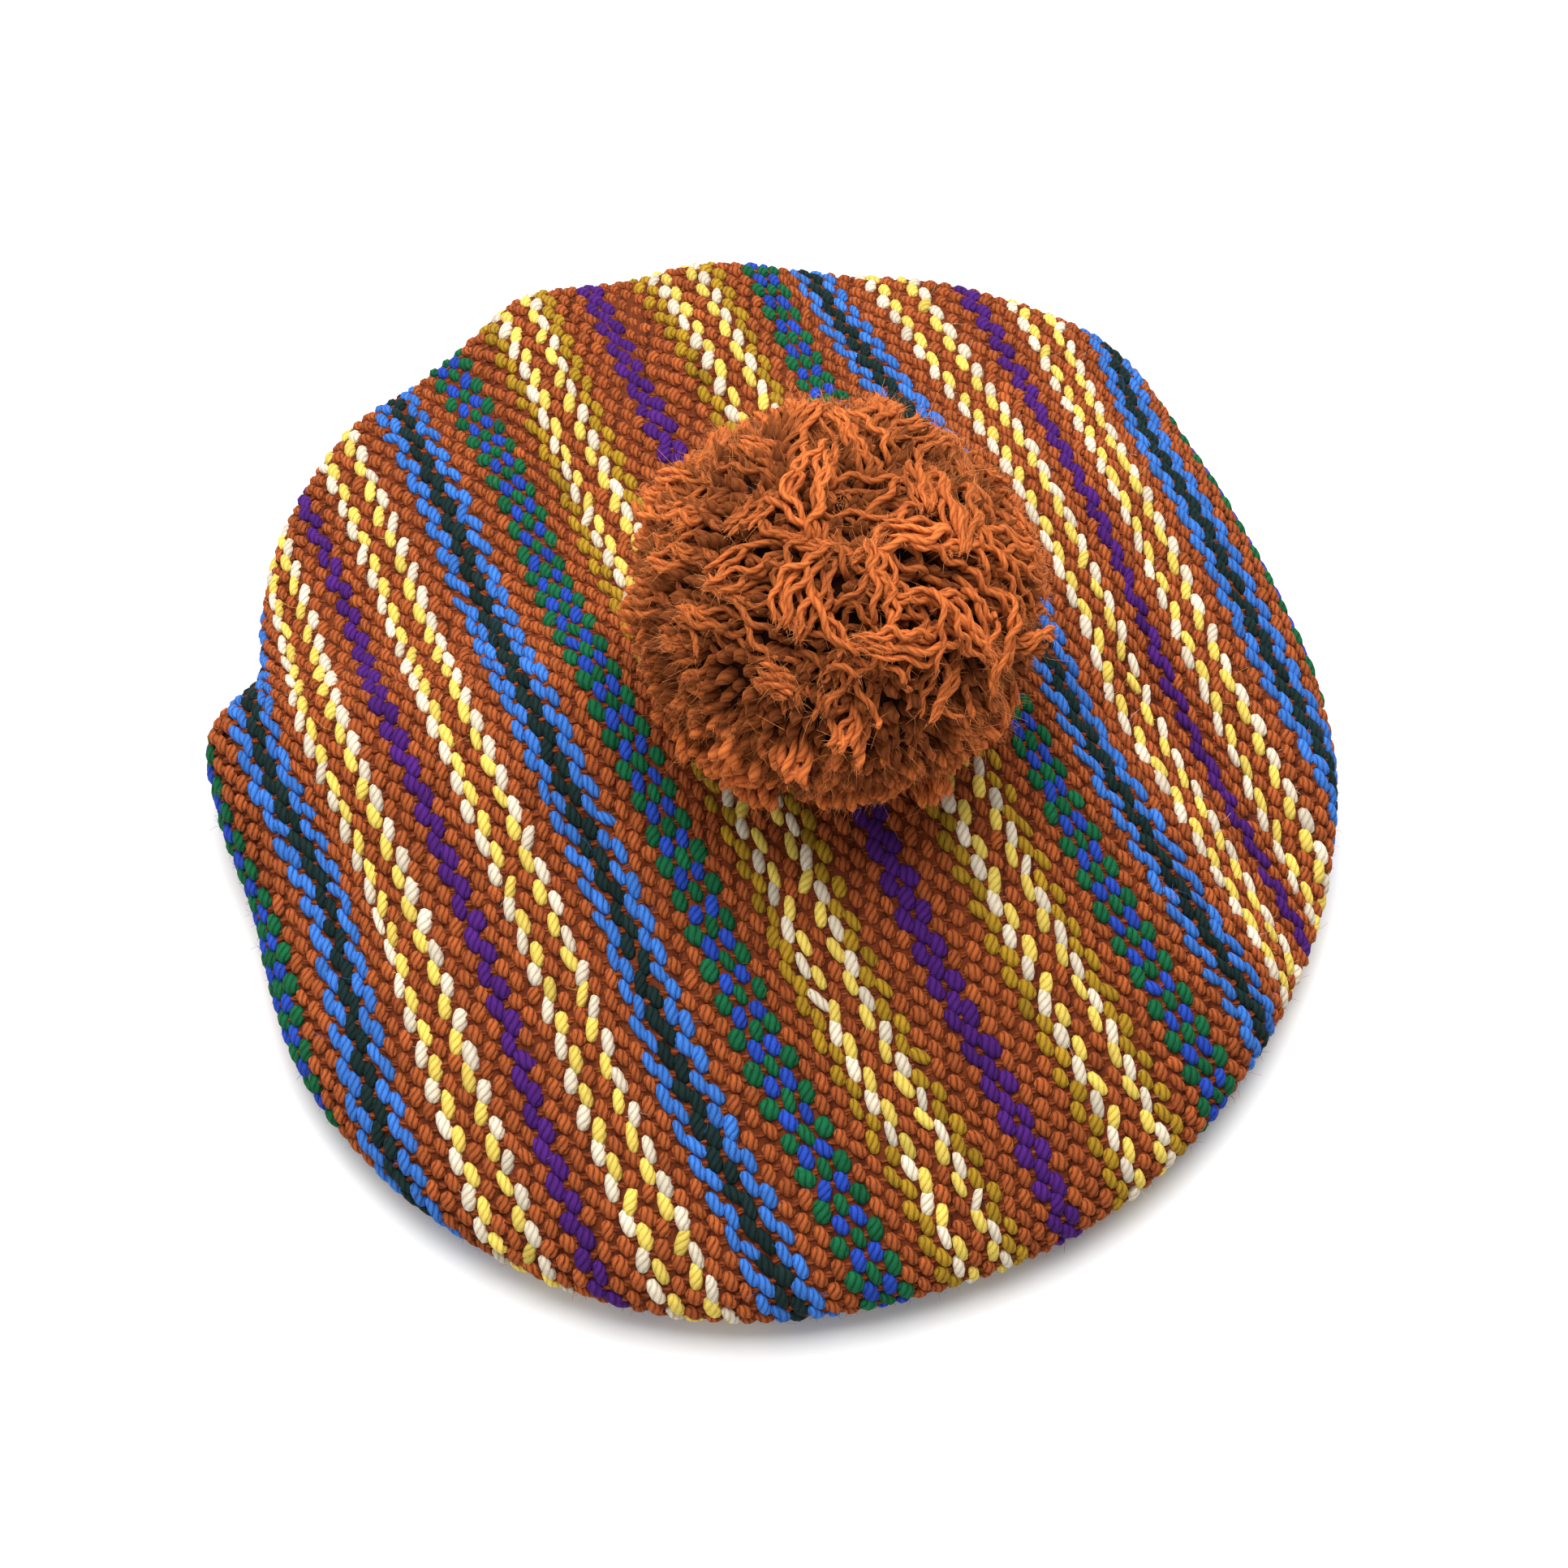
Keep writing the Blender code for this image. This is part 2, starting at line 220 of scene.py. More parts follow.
@dataclass
class CrownSurface:
    """Outer skin of the crown, reached from a flat layout of its cloth.

    The flat layout is the plan of the dome. Past the start of the rolled rim it goes on
    outwards by the cloth's own length, round the roll and under it to the hem.
    """

    top: tuple = (14.0 * MM, -5.0 * MM, 57.0 * MM)
    roll_width: float = 8.0 * MM
    roll_rise: float = 6.0 * MM
    roll_drop: float = 9.0 * MM
    hem_inset: float = 13.0 * MM
    hem_flat: float = 3.0 * MM
    fold_fade_start: float = 0.16
    fold_fade_end: float = 0.42
    spokes: int = 60
    bearings_read: int = 1440
    middle: np.ndarray = field(init=False)
    directions: np.ndarray = field(init=False)
    reaches: np.ndarray = field(init=False)
    lifts: np.ndarray = field(init=False)

    def __post_init__(self) -> None:
        """Read the rim table into reaches and lifts round the crown's top."""
        spoke = self.rim_points(np.arange(self.spokes) * 360.0 / self.spokes)
        self.middle = (spoke[:, :2].min(axis=0) + spoke[:, :2].max(axis=0)) / 2.0
        rim = self.rim_points(np.arange(self.bearings_read) * 360.0 / self.bearings_read)
        run = rim[:, :2] - np.array(self.top[:2])
        direction = np.arctan2(run[:, 1], run[:, 0])
        order = np.argsort(direction)
        self.directions = direction[order]
        self.reaches = np.hypot(run[:, 0], run[:, 1])[order]
        self.lifts = rim[order, 2]

    @staticmethod
    def rim_points(bearings: np.ndarray) -> np.ndarray:
        """Points on the rim's outermost line, in the hat's own plan.

        Args:
            bearings: Bearings in degrees, from 0 up to 360.

        Returns:
            One point for each bearing, in metres.
        """
        rows = np.array([(r.bearing, r.reach, r.lift) for r in RIM])
        turn = np.array((360.0, 0.0, 0.0))
        around = np.concatenate((rows[-2:] - turn, rows, rows[:2] + turn))
        read = smooth_curve(around[:, 0], around[:, 1:], bearings) * MM
        angle = np.radians(bearings)
        return np.stack((read[:, 0] * np.cos(angle), read[:, 0] * np.sin(angle), read[:, 1]), -1)

    @property
    def upper_arc(self) -> float:
        """Length of cloth over the upper quarter of the roll."""
        return QUARTER_TURN * math.sqrt((self.roll_width**2 + self.roll_rise**2) / 2.0)

    @property
    def lower_arc(self) -> float:
        """Length of cloth over the lower quarter of the roll."""
        return QUARTER_TURN * math.sqrt((self.hem_inset**2 + self.roll_drop**2) / 2.0)

    @staticmethod
    def fold_height(x: np.ndarray, y: np.ndarray) -> np.ndarray:
        """Height that the folds add at points of the hat's own plan.

        Args:
            x: First coordinates, in metres.
            y: Second coordinates, in metres.

        Returns:
            Heights, in metres.
        """
        total = np.zeros_like(x)
        for fold in FOLDS:
            spread = np.full_like(x, np.inf)
            for begin, finish in zip(fold.path, fold.path[1:]):
                start = np.array(begin) * MM
                run = np.array(finish) * MM - start
                off_x, off_y = x - start[0], y - start[1]
                along = np.clip((off_x * run[0] + off_y * run[1]) / (run @ run), 0.0, 1.0)
                is_left = run[0] * off_y - run[1] * off_x > 0.0
                reach = np.where(is_left, fold.left_reach, fold.right_reach) * MM
                distance = np.hypot(off_x - run[0] * along, off_y - run[1] * along)
                spread = np.minimum(spread, distance / reach)
            total += fold.height * MM * (1.0 - ease(spread))
        return total

    def rim_at(self, direction: np.ndarray) -> tuple:
        """Where the rim's outermost line lies, seen from the crown's top.

        Args:
            direction: Directions from the crown's top, in radians.

        Returns:
            The rim's distances and its heights.
        """
        reach = np.interp(direction, self.directions, self.reaches, period=FULL_TURN)
        lift = np.interp(direction, self.directions, self.lifts, period=FULL_TURN)
        return reach, lift

    def cloth_left(self, flat: np.ndarray) -> np.ndarray:
        """Length of cloth from points of the flat layout out to the hem, below 0 past it.

        Args:
            flat: Pairs along the last axis, in the frame's plan, in metres.

        Returns:
            One length for each pair.
        """
        x, y = flat[..., 0] + self.middle[0], flat[..., 1] + self.middle[1]
        off_x, off_y = x - self.top[0], y - self.top[1]
        reach, _ = self.rim_at(np.arctan2(off_y, off_x))
        limit = reach - self.roll_width + self.upper_arc + self.lower_arc + self.hem_flat
        return limit - np.hypot(off_x, off_y)

    def points(self, flat: np.ndarray) -> np.ndarray:
        """Points on the crown's skin for points of the flat layout.

        Args:
            flat: Pairs along the last axis, in the frame's plan, in metres.

        Returns:
            Points along the last axis, in the frame.
        """
        x, y = flat[..., 0] + self.middle[0], flat[..., 1] + self.middle[1]
        off_x, off_y = x - self.top[0], y - self.top[1]
        out = np.maximum(np.hypot(off_x, off_y), 1e-9)
        reach, lift = self.rim_at(np.arctan2(off_y, off_x))
        past = out - (reach - self.roll_width)
        upper = np.clip(past / self.upper_arc, 0.0, 1.0) * QUARTER_TURN
        rolls = past > 0.0
        high_out = np.where(rolls, reach - self.roll_width * (1.0 - np.sin(upper)), out)
        bulge = np.where(rolls, np.cos(upper), 1.0)
        share = high_out / reach
        plan_x = self.top[0] + off_x / out * high_out
        plan_y = self.top[1] + off_y / out * high_out
        fade = (share - self.fold_fade_start) / (self.fold_fade_end - self.fold_fade_start)
        high = (
            lift
            + (self.top[2] - lift - self.roll_rise) * (1.0 - share**2)
            + self.roll_rise * bulge
            + self.fold_height(plan_x, plan_y) * ease(fade) * bulge
        )
        under = past - self.upper_arc
        lower = np.clip(under / self.lower_arc, 0.0, 1.0) * QUARTER_TURN
        hem = np.clip(under - self.lower_arc, 0.0, self.hem_flat)
        low_out = reach - self.hem_inset * (1.0 - np.cos(lower)) - hem
        low = lift - self.roll_drop * np.sin(lower)
        is_low = under > 0.0
        final_out = np.where(is_low, low_out, high_out)
        return np.stack(
            (
                self.top[0] + off_x / out * final_out - self.middle[0],
                self.top[1] + off_y / out * final_out - self.middle[1],
                np.where(is_low, low, high),
            ),
            -1,
        )


@dataclass
class UnderSurface:
    """Lower skin of the underside: a ring from the crown's hem in to the headband."""

    crown: CrownSurface
    band_centre: tuple = (6.0 * MM, -3.0 * MM)
    inner_radius: float = 89.5 * MM
    inner_height: float = 20.0 * MM
    seam_gap: float = 0.3 * MM
    hem_flat: float = 3.0 * MM

    @property
    def centre(self) -> np.ndarray:
        """Middle of the headband in the frame's plan."""
        return np.array(self.band_centre) - self.crown.middle

    def hem(self, directions: np.ndarray) -> tuple:
        """Distance from the headband's middle out to the crown's hem, and its height.

        Args:
            directions: Directions from the headband's middle, in radians.

        Returns:
            Distances and heights, in metres.
        """
        crown = self.crown
        inset = crown.hem_inset + crown.hem_flat + self.seam_gap
        edge = np.stack((np.cos(crown.directions), np.sin(crown.directions)), -1)
        edge = edge * (crown.reaches - inset)[:, None]
        edge = edge + np.array(crown.top[:2]) - crown.middle - self.centre
        angle = np.arctan2(edge[:, 1], edge[:, 0])
        order = np.argsort(angle)
        out = np.hypot(edge[:, 0], edge[:, 1])[order]
        low = (crown.lifts - crown.roll_drop)[order]
        return (
            np.interp(directions, angle[order], out, period=FULL_TURN),
            np.interp(directions, angle[order], low, period=FULL_TURN),
        )

    def measure(self, plan: np.ndarray) -> tuple:
        """Distances from the headband's middle.

        Args:
            plan: Pairs along the last axis, in the frame's plan.

        Returns:
            Distances of the points, and of the hem beyond them, and the hem's height there.
        """
        off = plan - self.centre
        return np.hypot(off[..., 0], off[..., 1]), *self.hem(np.arctan2(off[..., 1], off[..., 0]))

    def points(self, plan: np.ndarray) -> np.ndarray:
        """Points on the ring above or below points of the frame's plan.

        Args:
            plan: Pairs along the last axis.

        Returns:
            Points along the last axis, in the frame.
        """
        out, hem_out, hem_low = self.measure(plan)
        flat = self.hem_flat / (hem_out - self.inner_radius)
        rise = ((hem_out - out) / (hem_out - self.inner_radius) - flat) / (1.0 - 2.0 * flat)
        height = hem_low + (self.inner_height - hem_low) * ease(rise)
        return np.concatenate((plan, height[..., None]), -1)

    def covers(self, plan: np.ndarray, margin: float) -> np.ndarray:
        """Whether points of the plan lie on the ring, at least a margin from its edges."""
        out, hem_out, _ = self.measure(plan)
        return (out > self.inner_radius + margin) & (out < hem_out - margin)


class Yarn(Enum):
    """Yarns of the cloth, by colour."""

    RUST = "rust"
    OLIVE = "olive"
    CREAM = "cream"
    LEMON = "lemon"
    GREEN = "green"
    ROYAL = "royal"
    SKY = "sky"
    BLACK = "black"
    PURPLE = "purple"


# What repeats in the warp chart, each entry a yarn and its columns.
CHAINS = ((Yarn.CREAM, 1), (Yarn.LEMON, 1), (Yarn.RUST, 2), (Yarn.LEMON, 1), (Yarn.CREAM, 1))
CHECKS = ((Yarn.GREEN, 1), (Yarn.ROYAL, 1), (Yarn.GREEN, 1), (Yarn.ROYAL, 1), (Yarn.GREEN, 1))
DARK_BAND = ((Yarn.SKY, 2), (Yarn.BLACK, 2), (Yarn.SKY, 2))

# Warp chart from the middle column outwards, the same on both sides.
CHART = (
    (Yarn.PURPLE, 2),
    (Yarn.RUST, 4),
    (Yarn.OLIVE, 2),
    *CHAINS,
    (Yarn.OLIVE, 2),
    (Yarn.RUST, 3),
    *CHECKS,
    (Yarn.RUST, 3),
    *DARK_BAND,
    (Yarn.RUST, 3),
    *CHAINS,
    (Yarn.RUST, 3),
    (Yarn.PURPLE, 2),
    (Yarn.RUST, 3),
    *CHAINS,
    (Yarn.RUST, 3),
    *DARK_BAND,
    (Yarn.RUST, 3),
    *CHECKS,
)


def yarn_of_column(column: int) -> Yarn:
    """Yarn of a warp column.

    Args:
        column: Column, counted from the middle of the purple stripe, below 0 to its left.

    Returns:
        The yarn that the chart gives.
    """
    left = abs(column)
    for yarn, count in CHART:
        if left < count:
            return yarn
        left -= count
    return Yarn.RUST


def linear(red: int, green: int, blue: int) -> tuple:
    """Scene colour of a colour given in the usual 0 to 255 steps.

    Args:
        red: Red step.
        green: Green step.
        blue: Blue step.

    Returns:
        Red, green and blue light, and an opacity of 1.
    """
    light = []
    for step in (red, green, blue):
        share = step / 255.0
        light.append(share / 12.92 if share <= 0.04045 else ((share + 0.055) / 1.055) ** 2.4)
    return (*light, 1.0)


@dataclass(frozen=True)
class WoolFinish:
    """Spun wool: twisted plies, fine fibres, matt with a soft sheen.

    The pattern reads two attributes of the piece: yarn, which holds the distance along the
    yarn and the cosine and sine of the angle round it, and tone, which lightens or darkens
    it. light is the colour of the plies' ridges, and groove is painted shade: the darker
    colour in the grooves between them.
    """

    name: str
    light: tuple
    groove: tuple
    plies: int = 4
    twist: float = 2800.0
    groove_depth: float = 0.35 * MM
    fibre_fineness: float = 1.3
    fibre_rate: float = 900.0
    fibre_shift: float = 60.0
    fibre_detail: float = 2.0
    fibre_distortion: float = 0.5
    fibre_height: float = 0.6
    fibre_contrast: float = 1.3
    fibre_middle: float = -0.5
    ply_bluntness: float = 0.7
    ply_contrast: float = 0.75
    bump: float = 0.8
    roughness: float = 0.92
    sheen: float = 0.35
    sheen_roughness: float = 0.45
    specular: float = 0.12

    def material(self) -> bpy.types.Material:
        """Node material of the finish.

        Returns:
            The material.
        """
        made = bpy.data.materials.new(self.name)
        made.use_nodes = True
        tree = made.node_tree
        shader = tree.nodes["Principled BSDF"]
        shader.inputs["Roughness"].default_value = self.roughness
        shader.inputs["Sheen Weight"].default_value = self.sheen
        shader.inputs["Sheen Roughness"].default_value = self.sheen_roughness
        shader.inputs["Sheen Tint"].default_value = self.light
        shader.inputs["Specular IOR Level"].default_value = self.specular
        along, phase = self.yarn_place(tree)
        wave = self.math(tree, "SINE", self.math(tree, "MULTIPLY", phase, 0.5))
        ridge = self.math(tree, "POWER", self.math(tree, "ABSOLUTE", wave), self.ply_bluntness)
        fibre = self.fibre_noise(tree, along, phase)
        tree.links.new(self.colour(tree, ridge, fibre), shader.inputs["Base Color"])
        height = self.math(tree, "MULTIPLY_ADD", fibre, self.fibre_height, ridge)
        bump = tree.nodes.new("ShaderNodeBump")
        bump.inputs["Strength"].default_value = self.bump
        bump.inputs["Distance"].default_value = self.groove_depth
        tree.links.new(height, bump.inputs["Height"])
        tree.links.new(bump.outputs["Normal"], shader.inputs["Normal"])
        return made

    @staticmethod
    def math(tree: bpy.types.NodeTree, operation: str, *inputs: object) -> bpy.types.NodeSocket:
        """Math node with sockets or numbers as its inputs.

        Args:
            tree: Tree that takes the node.
            operation: Name of the sum.
            inputs: Sockets and numbers, in order.

        Returns:
            The node's output.
        """
        node = tree.nodes.new("ShaderNodeMath")
        node.operation = operation
        for socket, value in zip(node.inputs, inputs):
            if isinstance(value, bpy.types.NodeSocket):
                tree.links.new(value, socket)
            else:
                socket.default_value = value
        return node.outputs[0]

    def yarn_place(self, tree: bpy.types.NodeTree) -> tuple:
        """Place on the yarn, from the piece's yarn attribute.

        Args:
            tree: Tree that takes the nodes.

        Returns:
            Sockets of the distance along the yarn and of the phase of its twisted plies.
        """
        place = tree.nodes.new("ShaderNodeAttribute")
        place.attribute_name = "yarn"
        parts = tree.nodes.new("ShaderNodeSeparateXYZ")
        tree.links.new(place.outputs["Vector"], parts.inputs[0])
        angle = self.math(tree, "ARCTAN2", parts.outputs[2], parts.outputs[1])
        turns = self.math(tree, "MULTIPLY", angle, float(self.plies))
        return parts.outputs[0], self.math(tree, "MULTIPLY_ADD", parts.outputs[0], -self.twist, turns)

    def fibre_noise(
        self, tree: bpy.types.NodeTree, along: bpy.types.NodeSocket, phase: bpy.types.NodeSocket
    ) -> bpy.types.NodeSocket:
        """Fine uneven fibres that run with the plies.

        Args:
            tree: Tree that takes the nodes.
            along: Distance along the yarn.
            phase: Phase of the plies.

        Returns:
            The noise's socket.
        """
        tone = tree.nodes.new("ShaderNodeAttribute")
        tone.attribute_name = "tone"
        place = tree.nodes.new("ShaderNodeCombineXYZ")
        tree.links.new(self.math(tree, "MULTIPLY", phase, self.fibre_fineness), place.inputs[0])
        tree.links.new(self.math(tree, "MULTIPLY", along, self.fibre_rate), place.inputs[1])
        shift = self.math(tree, "MULTIPLY", tone.outputs["Fac"], self.fibre_shift)
        tree.links.new(shift, place.inputs[2])
        noise = tree.nodes.new("ShaderNodeTexNoise")
        noise.inputs["Scale"].default_value = 1.0
        noise.inputs["Detail"].default_value = self.fibre_detail
        noise.inputs["Distortion"].default_value = self.fibre_distortion
        tree.links.new(place.outputs[0], noise.inputs["Vector"])
        return noise.outputs["Fac"]

    def colour(
        self, tree: bpy.types.NodeTree, ridge: bpy.types.NodeSocket, fibre: bpy.types.NodeSocket
    ) -> bpy.types.NodeSocket:
        """Colour from the painted shade of the grooves to the ply, a little lighter or darker yarn by
        yarn.

        Args:
            tree: Tree that takes the nodes.
            ridge: Height of the plies.
            fibre: Fine noise.

        Returns:
            The colour's socket.
        """
        lit = self.math(tree, "MULTIPLY_ADD", fibre, self.fibre_contrast, self.fibre_middle)
        lit = self.math(tree, "MULTIPLY_ADD", ridge, self.ply_contrast, lit)
        # Painted shade: the grooves between the plies take the darker groove colour.
        mix = tree.nodes.new("ShaderNodeMix")
        mix.data_type = "RGBA"
        mix.inputs["A"].default_value = self.groove
        mix.inputs["B"].default_value = self.light
        mix.clamp_factor = True
        tree.links.new(lit, mix.inputs["Factor"])
        tone = tree.nodes.new("ShaderNodeAttribute")
        tone.attribute_name = "tone"
        vary = tree.nodes.new("ShaderNodeHueSaturation")
        tree.links.new(mix.outputs["Result"], vary.inputs["Color"])
        tree.links.new(tone.outputs["Fac"], vary.inputs["Value"])
        return vary.outputs["Color"]


@dataclass(frozen=True)
class YarnForm:
    """Bead that a yarn makes where it passes over another, and its finish.

    length, width, height and sink are in millimetres and lean is in degrees. sink is how
    deep the bead's middle lies under the skin, and lean is its turn away from the warp.
    """

    length: float
    width: float
    height: float
    lean: float
    finish: WoolFinish
    sink: float = 0.5


YARNS = {
    Yarn.RUST: YarnForm(
        5.3, 3.25, 1.45, 5,
        WoolFinish(
            "rust_wool", linear(180, 92, 46), linear(62, 26, 12), twist=3000.0,
            groove_depth=0.5 * MM,
        ),
    ),
    Yarn.OLIVE: YarnForm(
        5.8, 3.4, 1.5, 3, WoolFinish("olive_wool", linear(180, 140, 38), linear(98, 70, 16))
    ),
    Yarn.CREAM: YarnForm(
        7.1, 3.2, 1.65, -12,
        WoolFinish("cream_wool", linear(232, 220, 198), linear(176, 156, 126), groove_depth=0.25 * MM),
    ),
    Yarn.LEMON: YarnForm(
        7.0, 3.15, 1.65, -10,
        WoolFinish("lemon_wool", linear(238, 212, 104), linear(190, 156, 48), groove_depth=0.25 * MM),
    ),
    Yarn.GREEN: YarnForm(
        5.9, 4.1, 1.65, 2, WoolFinish("green_wool", linear(24, 102, 62), linear(6, 46, 26))
    ),
    Yarn.ROYAL: YarnForm(
        5.9, 3.6, 1.5, 2, WoolFinish("royal_wool", linear(44, 78, 184), linear(16, 34, 106))
    ),
    Yarn.SKY: YarnForm(
        6.9, 3.1, 1.55, 6, WoolFinish("sky_wool", linear(66, 124, 206), linear(26, 64, 138))
    ),
    Yarn.BLACK: YarnForm(
        6.9, 3.5, 1.5, 4, WoolFinish("black_wool", linear(26, 46, 44), linear(8, 18, 18))
    ),
    Yarn.PURPLE: YarnForm(
        6.6, 3.9, 1.6, 4, WoolFinish("purple_wool", linear(80, 34, 118), linear(36, 11, 60))
    ),
}
# Weft: the rust yarn, coloured darker than the warp's rust as painted shade where it lies sunk between
# the warp's beads.
WEFT = YarnForm(
    3.2, 2.3, 1.1, 0, WoolFinish("weft_wool", linear(138, 66, 32), linear(56, 22, 10)), sink=0.8
)

POMPOM_WOOL = WoolFinish(
    "pompom_wool", linear(206, 113, 56), linear(128, 51, 19), plies=3, twist=2200.0,
    groove_depth=0.14 * MM, fibre_fineness=3.2, fibre_rate=600.0, sheen=0.9,
)
# Painted shade: dark wool for the cloth behind the yarns, the band's lining and the pompom's core, where
# only shade shows.
PAINTED_SHADE_WOOL = WoolFinish("shade_wool", linear(110, 50, 24), linear(52, 20, 8), plies=2, twist=900.0)
BAND_WOOL = WoolFinish("band_wool", linear(176, 86, 42), linear(100, 42, 18), plies=6, twist=2400.0)


class Template:
    """A small closed mesh that is copied many times: its points, and its faces as flat lists."""

    bluntness = 0.26
    pole_thickness = 0.01

    def __init__(self, mesh: bmesh.types.BMesh) -> None:
        """Read a bmesh and free it.

        Args:
            mesh: Closed mesh.
        """
        bmesh.ops.recalc_face_normals(mesh, faces=mesh.faces)
        mesh.verts.index_update()
        self.points = np.array([vert.co for vert in mesh.verts])
        self.corners = np.array([vert.index for face in mesh.faces for vert in face.verts])
        sizes = [len(face.verts) for face in mesh.faces]
        self.starts = np.concatenate(([0], np.cumsum(sizes)[:-1]))
        mesh.free()

    @classmethod
    def bead(cls, around: int, steps: int) -> "Template":
        """Bead with blunt ends along X, 1 in reach.

        Args:
            around: Sides round its long axis.
            steps: Bands from end to end.

        Returns:
            The bead.
        """
        mesh = bmesh.new()
        bmesh.ops.create_uvsphere(mesh, u_segments=around, v_segments=steps, radius=1.0)
        bmesh.ops.rotate(mesh, verts=mesh.verts, matrix=Matrix.Rotation(QUARTER_TURN, 3, "Y"))
        for vert in mesh.verts:
            thick = math.sqrt(max(0.0, 1.0 - vert.co.x**2))
            if thick > cls.pole_thickness:
                blunt = thick**-cls.bluntness
                vert.co.y *= blunt
                vert.co.z *= blunt
        return cls(mesh)

    @classmethod
    def spike(cls, sides: int) -> "Template":
        """Closed spike along Z, from a base of radius 1 at 0 to a point at 1.

        Args:
            sides: Sides of the base.

        Returns:
            The spike.
        """
        mesh = bmesh.new()
        place = Matrix.Translation((0.0, 0.0, 0.5))
        bmesh.ops.create_cone(
            mesh, cap_ends=True, segments=sides, radius1=1.0, radius2=0.0, depth=1.0, matrix=place
        )
        return cls(mesh)

    @classmethod
    def tube(cls, sides: int, steps: int) -> "Template":
        """Closed tube along Z from 0 to 1, with a ring of points at each step.

        Args:
            sides: Points in a ring.
            steps: Lengths between rings.

        Returns:
            The tube.
        """
        mesh = bmesh.new()
        ring = bmesh.ops.create_circle(mesh, segments=sides, radius=1.0, cap_ends=False)
        edges = list({edge for vert in ring["verts"] for edge in vert.link_edges})
        bmesh.ops.spin(
            mesh, geom=edges + ring["verts"], cent=(0.0, 0.0, 0.0), axis=(0.0, 0.0, 1.0),
            dvec=(0.0, 0.0, 1.0 / steps), angle=0.0, steps=steps, use_duplicate=False,
        )
        ends = [edge for edge in mesh.edges if edge.is_boundary]
        bmesh.ops.holes_fill(mesh, edges=ends, sides=sides)
        return cls(mesh)


@dataclass
class Wardrobe:
    """Makes pieces from copied templates, dresses them and sets them on the hat's body."""

    body: str = "root"

    def copies(
        self, name: str, template: Template, places: np.ndarray, yarn: np.ndarray, tone: np.ndarray
    ) -> bpy.types.Object:
        """One joined mesh of many copies of a template.

        Args:
            name: Piece name.
            template: Mesh to copy.
            places: Where the template's points lie in each copy.
            yarn: For each of those points, the place along the yarn and round it.
            tone: Tone of each copy, or of each of its points.

        Returns:
            The piece.
        """
        count, size = places.shape[:2]
        data = bpy.data.meshes.new(name)
        data.vertices.add(count * size)
        data.vertices.foreach_set("co", places.astype(np.float32).ravel())
        corners = template.corners[None, :] + size * np.arange(count)[:, None]
        starts = template.starts[None, :] + len(template.corners) * np.arange(count)[:, None]
        data.loops.add(corners.size)
        data.loops.foreach_set("vertex_index", corners.astype(np.int32).ravel())
        data.polygons.add(starts.size)
        data.polygons.foreach_set("loop_start", starts.astype(np.int32).ravel())
        data.update(calc_edges=True)
        data.validate()
        data.shade_smooth()
        self.store(data, "yarn", "FLOAT_VECTOR", yarn)
        self.store(data, "tone", "FLOAT", np.broadcast_to(tone.reshape(count, -1), (count, size)))
        return self.link(name, data)

    @staticmethod
    def store(data: bpy.types.Mesh, name: str, kind: str, values: np.ndarray) -> None:
        """Keep values on a mesh's points as a named attribute.

        Args:
            data: Mesh.
            name: Attribute name.
            kind: FLOAT or FLOAT_VECTOR.
            values: One number or vector for each point.
        """
        key = "vector" if kind == "FLOAT_VECTOR" else "value"
        attribute = data.attributes.new(name, kind, "POINT")
        attribute.data.foreach_set(key, values.astype(np.float32).ravel())

    @staticmethod
    def link(name: str, data: bpy.types.Mesh) -> bpy.types.Object:
        """Put a mesh into the scene.

        Args:
            name: Object name.
            data: Mesh.

        Returns:
            The mesh's object.
        """
        item = bpy.data.objects.new(name, data)
        bpy.context.scene.collection.objects.link(item)
        return item

    def piece(
        self, name: str, mesh: bmesh.types.BMesh, places: np.ndarray, tone: float = 1.0
    ) -> bpy.types.Object:
        """Piece from a bmesh, which is freed.

        Args:
            name: Piece name.
            mesh: Its shape.
            places: For each point, the place in the yarn's pattern.
            tone: Its tone.

        Returns:
            The piece, without a finish.
        """
        data = bpy.data.meshes.new(name)
        mesh.to_mesh(data)
        mesh.free()
        self.store(data, "yarn", "FLOAT_VECTOR", places)
        self.store(data, "tone", "FLOAT", np.full(len(places), tone))
        return self.link(name, data)

    def dress(
        self, item: bpy.types.Object, finish: bpy.types.Material, slot: str, replaces: str = ""
    ) -> bpy.types.Object:
        """Give a piece its finish and body, and hide any node that it stands for.

        Args:
            item: Piece.
            finish: Its material.
            slot: Not used.
            replaces: Node that it stands for, if any.

        Returns:
            The piece.
        """
        item.data.materials.append(finish)
        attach(item, self.body)
        if replaces:
            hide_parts(replaces)
        return item

    def beads(
        self, name: str, slot: str, sites: "Sites", form: YarnForm, fineness: tuple,
        rng: np.random.Generator, is_weft: bool = False,
    ) -> bpy.types.Object:
        """Piece with one bead of yarn at each crossing.

        Args:
            name: Piece name.
            slot: The record's material slot.
            sites: Crossings.
            form: The yarn's form.
            fineness: Sides round a bead, and bands from end to end.
            rng: Source of the unevenness.
            is_weft: Whether the beads run across the warp.

        Returns:
            The piece.
        """
        template = Template.bead(*fineness)
        item = self.copies(name, template, *lay_beads(sites, template, form, rng, is_weft))
        return self.dress(item, material_of(form.finish), slot)


